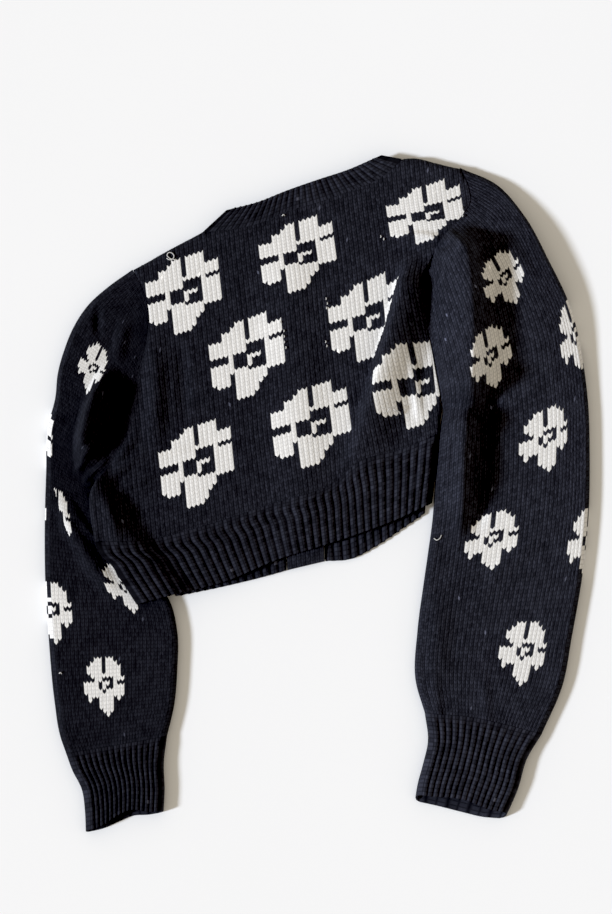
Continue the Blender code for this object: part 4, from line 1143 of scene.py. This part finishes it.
class BackOperator(bpy.types.Operator):
    """Knits the back panel, with its flowers"""

    bl_idname = "cardigan.back"
    bl_label = "Back"

    def execute(self, context):
        knit = context.scene.cardigan_knit
        points, uv, keep, plan, edge = knitted_panel(*closed_outline((
            (HEM_SEAM, 0), (SIDE_RIGHT, 1), (ARMHOLE_RIGHT, 0), (SHOULDER_RIGHT[::-1], 1),
            (NECK_SEAM[::-1], 0), (SHOULDER_LEFT[::-1], 1), (ARMHOLE_LEFT[::-1], 0),
            (SIDE_LEFT[::-1], 1),
        )), knit, body_place, knit.raised / MM)
        centres = nearest_stitches(plan, uv, BACK_FLOWERS)
        cream = flower_marks(stitches_of(uv), plan[:-1, :-1], BACK_FLOWER, centres, "body")
        bm, place = knit_grid(points, uv, keep=keep, cream=cream)
        turn_edges_under(bm, place, edge)
        finish_cloth(bm, "back", "knit", "knit", knit.wall / MM, "navy", "cream")
        return {"FINISHED"}


class FrontsOperator(bpy.types.Operator):
    """Knits the two fronts, which lie on the table under the back"""

    bl_idname = "cardigan.fronts"
    bl_label = "Fronts"

    def execute(self, context):
        armhole_left = (FRONT_LEFT_SIDE[-1], *ARMHOLE_LEFT[1:-1], FRONT_SHOULDER_LEFT[0])
        armhole_right = (FRONT_RIGHT_SIDE[-1], *ARMHOLE_RIGHT[1:-1], FRONT_SHOULDER_RIGHT[-1])
        for node, lines in (
            ("front_left", (
                FRONT_HEM_SEAM_LEFT, BAND_LEFT_LINE[1:], FRONT_NECK_LEFT[::-1],
                FRONT_SHOULDER_LEFT[::-1], armhole_left[::-1], FRONT_LEFT_SIDE[::-1],
            )),
            ("front_right", (
                FRONT_HEM_SEAM_RIGHT, FRONT_RIGHT_SIDE, armhole_right, FRONT_SHOULDER_RIGHT[::-1],
                FRONT_NECK_RIGHT[::-1], BAND_RIGHT_LINE[:0:-1],
            )),
        ):
            points, uv, keep, _, _ = knitted_panel(
                *closed_outline((line, 0) for line in lines), context.scene.cardigan_knit,
                table_place, FRONT_RAISED,
            )
            bm, _ = knit_grid(points, uv, keep=keep)
            finish_cloth(bm, node, "knit", "knit", KNIT_WALL - 0.5 * FRONT_RAISED, "navy")
        return {"FINISHED"}


class SleevesOperator(bpy.types.Operator):
    """Knits the two sleeves, with their flowers"""

    bl_idname = "cardigan.sleeves"
    bl_label = "Sleeves"

    def execute(self, context):
        knit = context.scene.cardigan_knit
        for node, seam, inner, outer, armhole, apex, wales, courses, facing, flowers in (
            ("sleeve_left", CUFF_LEFT_SEAM[::-1], SLEEVE_LEFT_INNER, SLEEVE_LEFT_OUTER,
             ARMHOLE_LEFT, 6, 31, 126, -1, SLEEVE_LEFT_FLOWERS),
            ("sleeve_right", CUFF_RIGHT_SEAM, SLEEVE_RIGHT_INNER, SLEEVE_RIGHT_OUTER,
             ARMHOLE_RIGHT, 4, 34, 132, 1, SLEEVE_RIGHT_FLOWERS),
        ):
            sewn, opened = line_steps(inner).sum(), line_steps(armhole[:apex + 1]).sum()
            patch = Patch(seam, armhole[apex:], inner + armhole[1:apex + 1], outer)
            points, uv, plan = sleeve_points(
                patch, wales, courses, node, sewn / (sewn + opened), facing, knit.raised / MM
            )
            centres = nearest_stitches(plan, uv, flowers)
            chart = [row[::facing] for row in SLEEVE_FLOWER]
            cream = flower_marks(stitches_of(uv), plan[:-1, :-1], chart, centres, node)
            bm, _ = knit_grid(points, uv, cream=cream, flip=facing < 0)
            finish_cloth(bm, node, "knit", "knit", knit.wall / MM, "navy", "cream")
        return {"FINISHED"}


class BandsOperator(bpy.types.Operator):
    """Knits the hem, neckband, cuffs and button bands"""

    bl_idname = "cardigan.bands"
    bl_label = "Ribbed bands"

    def execute(self, context):
        self.hem_and_neck()
        self.cuffs()
        self.fronts()
        self.button_bands()
        return {"FINISHED"}

    def hem_and_neck(self):
        patch = Patch(HEM_EDGE, HEM_SEAM, HEM_LEFT_END, HEM_RIGHT_END)
        bm, _ = knit_grid(*ribbed_top(patch, HEM_BACK_RIBS, 18, 1.0))
        finish_cloth(bm, "hem_back", "rib", "rib", BAND_SHELL, "navy")
        edge = NECK_EDGE[1:]
        patch = Patch(NECK_SEAM, edge, (NECK_SEAM[0], edge[0]), (NECK_SEAM[-1], edge[-1]))
        points, uv = ribbed_top(patch, NECK_RIBS, 6, 0.0, shown=NECK_SHOWN, fade_up=False)
        points[0] += SEAM_TUCKED * unit(points[0] - points[1])
        points[0, :, 2] -= SEAM_SINK
        bm, _ = knit_grid(points, uv)
        finish_cloth(bm, "neckband", "rib", "rib", BAND_SHELL, "navy")

    def cuffs(self):
        left = Patch(CUFF_LEFT_EDGE, CUFF_LEFT_SEAM, CUFF_LEFT_OUTER, CUFF_LEFT_INNER)
        right = Patch(CUFF_RIGHT_EDGE, CUFF_RIGHT_SEAM, CUFF_RIGHT_INNER, CUFF_RIGHT_OUTER)
        for node, patch, courses, reach in (
            ("cuff_left", left, 18, 2.0), ("cuff_right", right, 20, 7.0),
        ):
            bm, _ = knit_grid(*cuff_points(patch, CUFF_RIBS, courses, node, reach))
            bmesh.ops.remove_doubles(bm, verts=bm.verts, dist=1e-6)
            finish_cloth(bm, node, "rib", "rib", BAND_SHELL, "navy")

    def fronts(self):
        ends = (BAND_LEFT_LINE[-1], BAND_RIGHT_LINE[-1])
        lines = {
            "hem_front_left": (
                FRONT_HEM_EDGE_LEFT, FRONT_HEM_SEAM_LEFT,
                (FRONT_HEM_EDGE_LEFT[0], FRONT_HEM_SEAM_LEFT[0]), BAND_LEFT_LINE[:2],
            ),
            "hem_front_right": (
                FRONT_HEM_EDGE_RIGHT, FRONT_HEM_SEAM_RIGHT, BAND_RIGHT_LINE[:2],
                FRONT_HEM_RIGHT_END,
            ),
            "neckband_left": (
                FRONT_NECK_LEFT + ends[1:], NECK_INNER_LEFT,
                (FRONT_NECK_LEFT[0], NECK_INNER_LEFT[0]), (ends[1], NECK_INNER_LEFT[-1]),
            ),
            "neckband_right": (
                FRONT_NECK_RIGHT, NECK_INNER_RIGHT, (FRONT_NECK_RIGHT[0], NECK_INNER_RIGHT[0]),
                (FRONT_NECK_RIGHT[-1], NECK_INNER_RIGHT[-1]),
            ),
        }
        for node, ribs, courses, gaps in (
            ("hem_front_left", HEM_LEFT_RIBS, 14, (0, SEAM_GAP, 0, SEAM_GAP)),
            ("hem_front_right", HEM_RIGHT_RIBS, 15, (SEAM_GAP, 0, 0, SEAM_GAP)),
            ("neckband_left", NECK_FRONT_RIBS, 5, (0, SEAM_GAP, SEAM_GAP, 0)),
            ("neckband_right", NECK_FRONT_RIBS, 5, (0, 0, SEAM_GAP, 0)),
        ):
            share, middle = rib_columns(ribs)
            v = rib_rows(courses, middle)
            points = slab_points(Patch(*lines[node]), share, v, RIB_WALL, gaps, on_table)
            points[..., 2] += rib_height(share, ribs, v.shape[0])
            uv = np.stack([np.broadcast_to(share * ribs, v.shape), v * courses], axis=-1)
            bm, _ = knit_grid(points, uv)
            finish_cloth(bm, node, "rib", "rib", RIB_WALL, "navy")

    def button_bands(self):
        patch = Patch(
            (BAND_LEFT_LINE[0], BAND_RIGHT_LINE[0]), (BAND_LEFT_LINE[-1], BAND_RIGHT_LINE[-1]),
            BAND_LEFT_LINE, BAND_RIGHT_LINE,
        )
        column = np.arange(BAND_WALES * LEG_COLUMNS + 1)
        row = np.arange(BAND_COURSES * LEG_ROWS + 1)[:, None]
        v = leg_rows(column, row, BAND_COURSES)
        uv = np.stack(np.broadcast_arrays(column / LEG_COLUMNS, row / LEG_ROWS), axis=-1)
        gaps = (SEAM_GAP, SEAM_GAP, 0, SEAM_GAP)
        for node, under in (("buttonhole_band", over_buttons), ("button_band", on_lower_band)):
            points = slab_points(patch, column / column[-1], v, BAND_WALL, gaps, under)
            points[..., 2] += BAND_RAISED * (leg_height(column, row) - 1.0)
            bm, _ = knit_grid(points, uv)
            finish_cloth(bm, node, "knit", "rib", BAND_WALL - BAND_RAISED, "navy")


class ButtonsOperator(bpy.types.Operator):
    """Finishes the buttons, which lie under the buttonhole band"""

    bl_idname = "cardigan.buttons"
    bl_label = "Buttons"

    def execute(self, context):
        horn = clouded_material("dark horn", {"Roughness": 0.3}, HORN_NOISE, HORN_DARK, HORN_LIGHT)
        for number in range(1, BUTTON_COUNT + 1):
            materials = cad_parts[f"button_{number}"].data.materials
            materials.clear()
            materials.append(horn)
        return {"FINISHED"}


class YarnEndsOperator(bpy.types.Operator):
    """Lays the loose yarn ends on the cloth"""

    bl_idname = "cardigan.yarn_ends"
    bl_label = "Yarn ends"

    def execute(self, context):
        bm = bmesh.new()
        for end in YARN_ENDS:
            self.lay(bm, end)
        for x, y in SPECKS:
            self.lay(bm, YarnEnd("body", BODY_LOFT, ((x, y - 1), (x + 0.4, y), (x, y + 1))))
        bmesh.ops.remove_doubles(bm, verts=bm.verts, dist=1e-6)
        bmesh.ops.holes_fill(bm, edges=[edge for edge in bm.edges if edge.is_boundary])
        bmesh.ops.recalc_face_normals(bm, faces=bm.faces[:])
        for face in bm.faces:
            face.smooth = True
        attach(mesh_object("yarn_ends", bm, yarn_material("cream")), "root")
        return {"FINISHED"}

    def lay(self, bm, end):
        """Adds a round yarn that arches over the cloth between its two tips."""
        x, y = curve(end.points, np.linspace(0.0, 1.0, 4 * len(end.points))).T
        lift = YARN_RADIUS + YARN_LIFT * np.sin(np.linspace(YARN_TIP, math.pi - YARN_TIP, len(x)))
        path = np.stack([x, y, end.loft + relief(x, y, end.owner)[0] + lift], axis=1)
        along = unit(np.gradient(path, axis=0))
        side = unit(np.cross(along, (0.0, 0.0, 1.0)))
        turn = np.linspace(0.0, 2.0 * math.pi, YARN_SIDES + 1)[None, :, None]
        rings = path[:, None] + YARN_RADIUS * (
            np.cos(turn) * side[:, None] + np.sin(turn) * np.cross(side, along)[:, None]
        )
        made = bmesh.ops.create_grid(
            bm, x_segments=YARN_SIDES, y_segments=len(path) - 1, size=0.5
        )["verts"]
        for vert, point in zip(made, rings.reshape(-1, 3) * MM):
            vert.co = point


class StageOperator(bpy.types.Operator):
    """Sets the table top, the light and the camera"""

    bl_idname = "cardigan.stage"
    bl_label = "Stage"

    def execute(self, context):
        bm = bmesh.new()
        bmesh.ops.create_grid(bm, x_segments=TABLE_PARTS, y_segments=TABLE_PARTS, size=TABLE_HALF)
        mesh_object("table_top", bm, clouded_material(
            "pale table top", {"Roughness": 0.7, "Specular IOR Level": 0.1}, TABLE_NOISE,
            context.scene.cardigan_colours.table, TABLE_LIGHT,
        ))
        self.light(context.scene)
        self.camera(context.scene)
        return {"FINISHED"}

    def light(self, scene):
        world = bpy.data.worlds.new("warm fill")
        world.use_nodes = True
        set_inputs(world.node_tree, world.node_tree.nodes["Background"], {
            "Color": (*FILL_COLOUR, 1.0), "Strength": FILL_STRENGTH,
        })
        scene.world = world
        lamp = bpy.data.lights.new("window_sun", "SUN")
        lamp.energy = SUN_STRENGTH
        lamp.color = SUN_COLOUR
        lamp.angle = math.radians(SUN_SPREAD)
        sun = bpy.data.objects.new("window_sun", lamp)
        sun.rotation_euler = (-Vector(SUN_TOWARDS)).to_track_quat("Z", "Y").to_euler()
        scene.collection.objects.link(sun)
        scene.view_settings.view_transform = "Standard"
        scene.view_settings.use_curve_mapping = True
        tone = scene.view_settings.curve_mapping
        tone.black_level = BLACK_LEVEL
        tone.update()

    def camera(self, scene):
        lens = bpy.data.cameras.new("camera")
        lens.sensor_width = SENSOR
        lens.lens = SENSOR * CAMERA_AWAY / FRAME_TALL
        lens.clip_end = CAMERA_END
        view = bpy.data.objects.new("camera", lens)
        target = Vector(FRAME_CENTRE) * MM
        lean = math.radians(CAMERA_LEAN)
        view.location = target + CAMERA_AWAY * Vector((0.0, -math.sin(lean), math.cos(lean)))
        view.rotation_euler = (target - view.location).to_track_quat("-Z", "Y").to_euler()
        scene.collection.objects.link(view)
        scene.camera = view


class CardiganPanel(bpy.types.Panel):
    """Lists the pieces of the cardigan and its sizes"""

    bl_idname = "VIEW3D_PT_cardigan"
    bl_label = "Cardigan"
    bl_space_type = "VIEW_3D"
    bl_region_type = "UI"
    bl_category = "Cardigan"

    def draw(self, context):
        layout = self.layout
        for settings in (context.scene.cardigan_knit, context.scene.cardigan_colours):
            for name in settings.__annotations__:
                layout.prop(settings, name)
        for operator in PIECES:
            layout.operator(operator.bl_idname)


PIECES = (
    BackOperator, FrontsOperator, SleevesOperator, BandsOperator, ButtonsOperator, YarnEndsOperator,
    StageOperator,
)
CLASSES = (KnitSettings, ColourSettings) + PIECES + (CardiganPanel,)


def register():
    for item in CLASSES:
        bpy.utils.register_class(item)
    bpy.types.Scene.cardigan_knit = PointerProperty(type=KnitSettings)
    bpy.types.Scene.cardigan_colours = PointerProperty(type=ColourSettings)


def unregister():
    del bpy.types.Scene.cardigan_colours
    del bpy.types.Scene.cardigan_knit
    for item in reversed(CLASSES):
        bpy.utils.unregister_class(item)


def main():
    register()
    bpy.ops.cardigan.back()
    bpy.ops.cardigan.fronts()
    bpy.ops.cardigan.sleeves()
    bpy.ops.cardigan.bands()
    bpy.ops.cardigan.buttons()
    bpy.ops.cardigan.yarn_ends()
    bpy.ops.cardigan.stage()


if __name__ == "__main__":
    main()
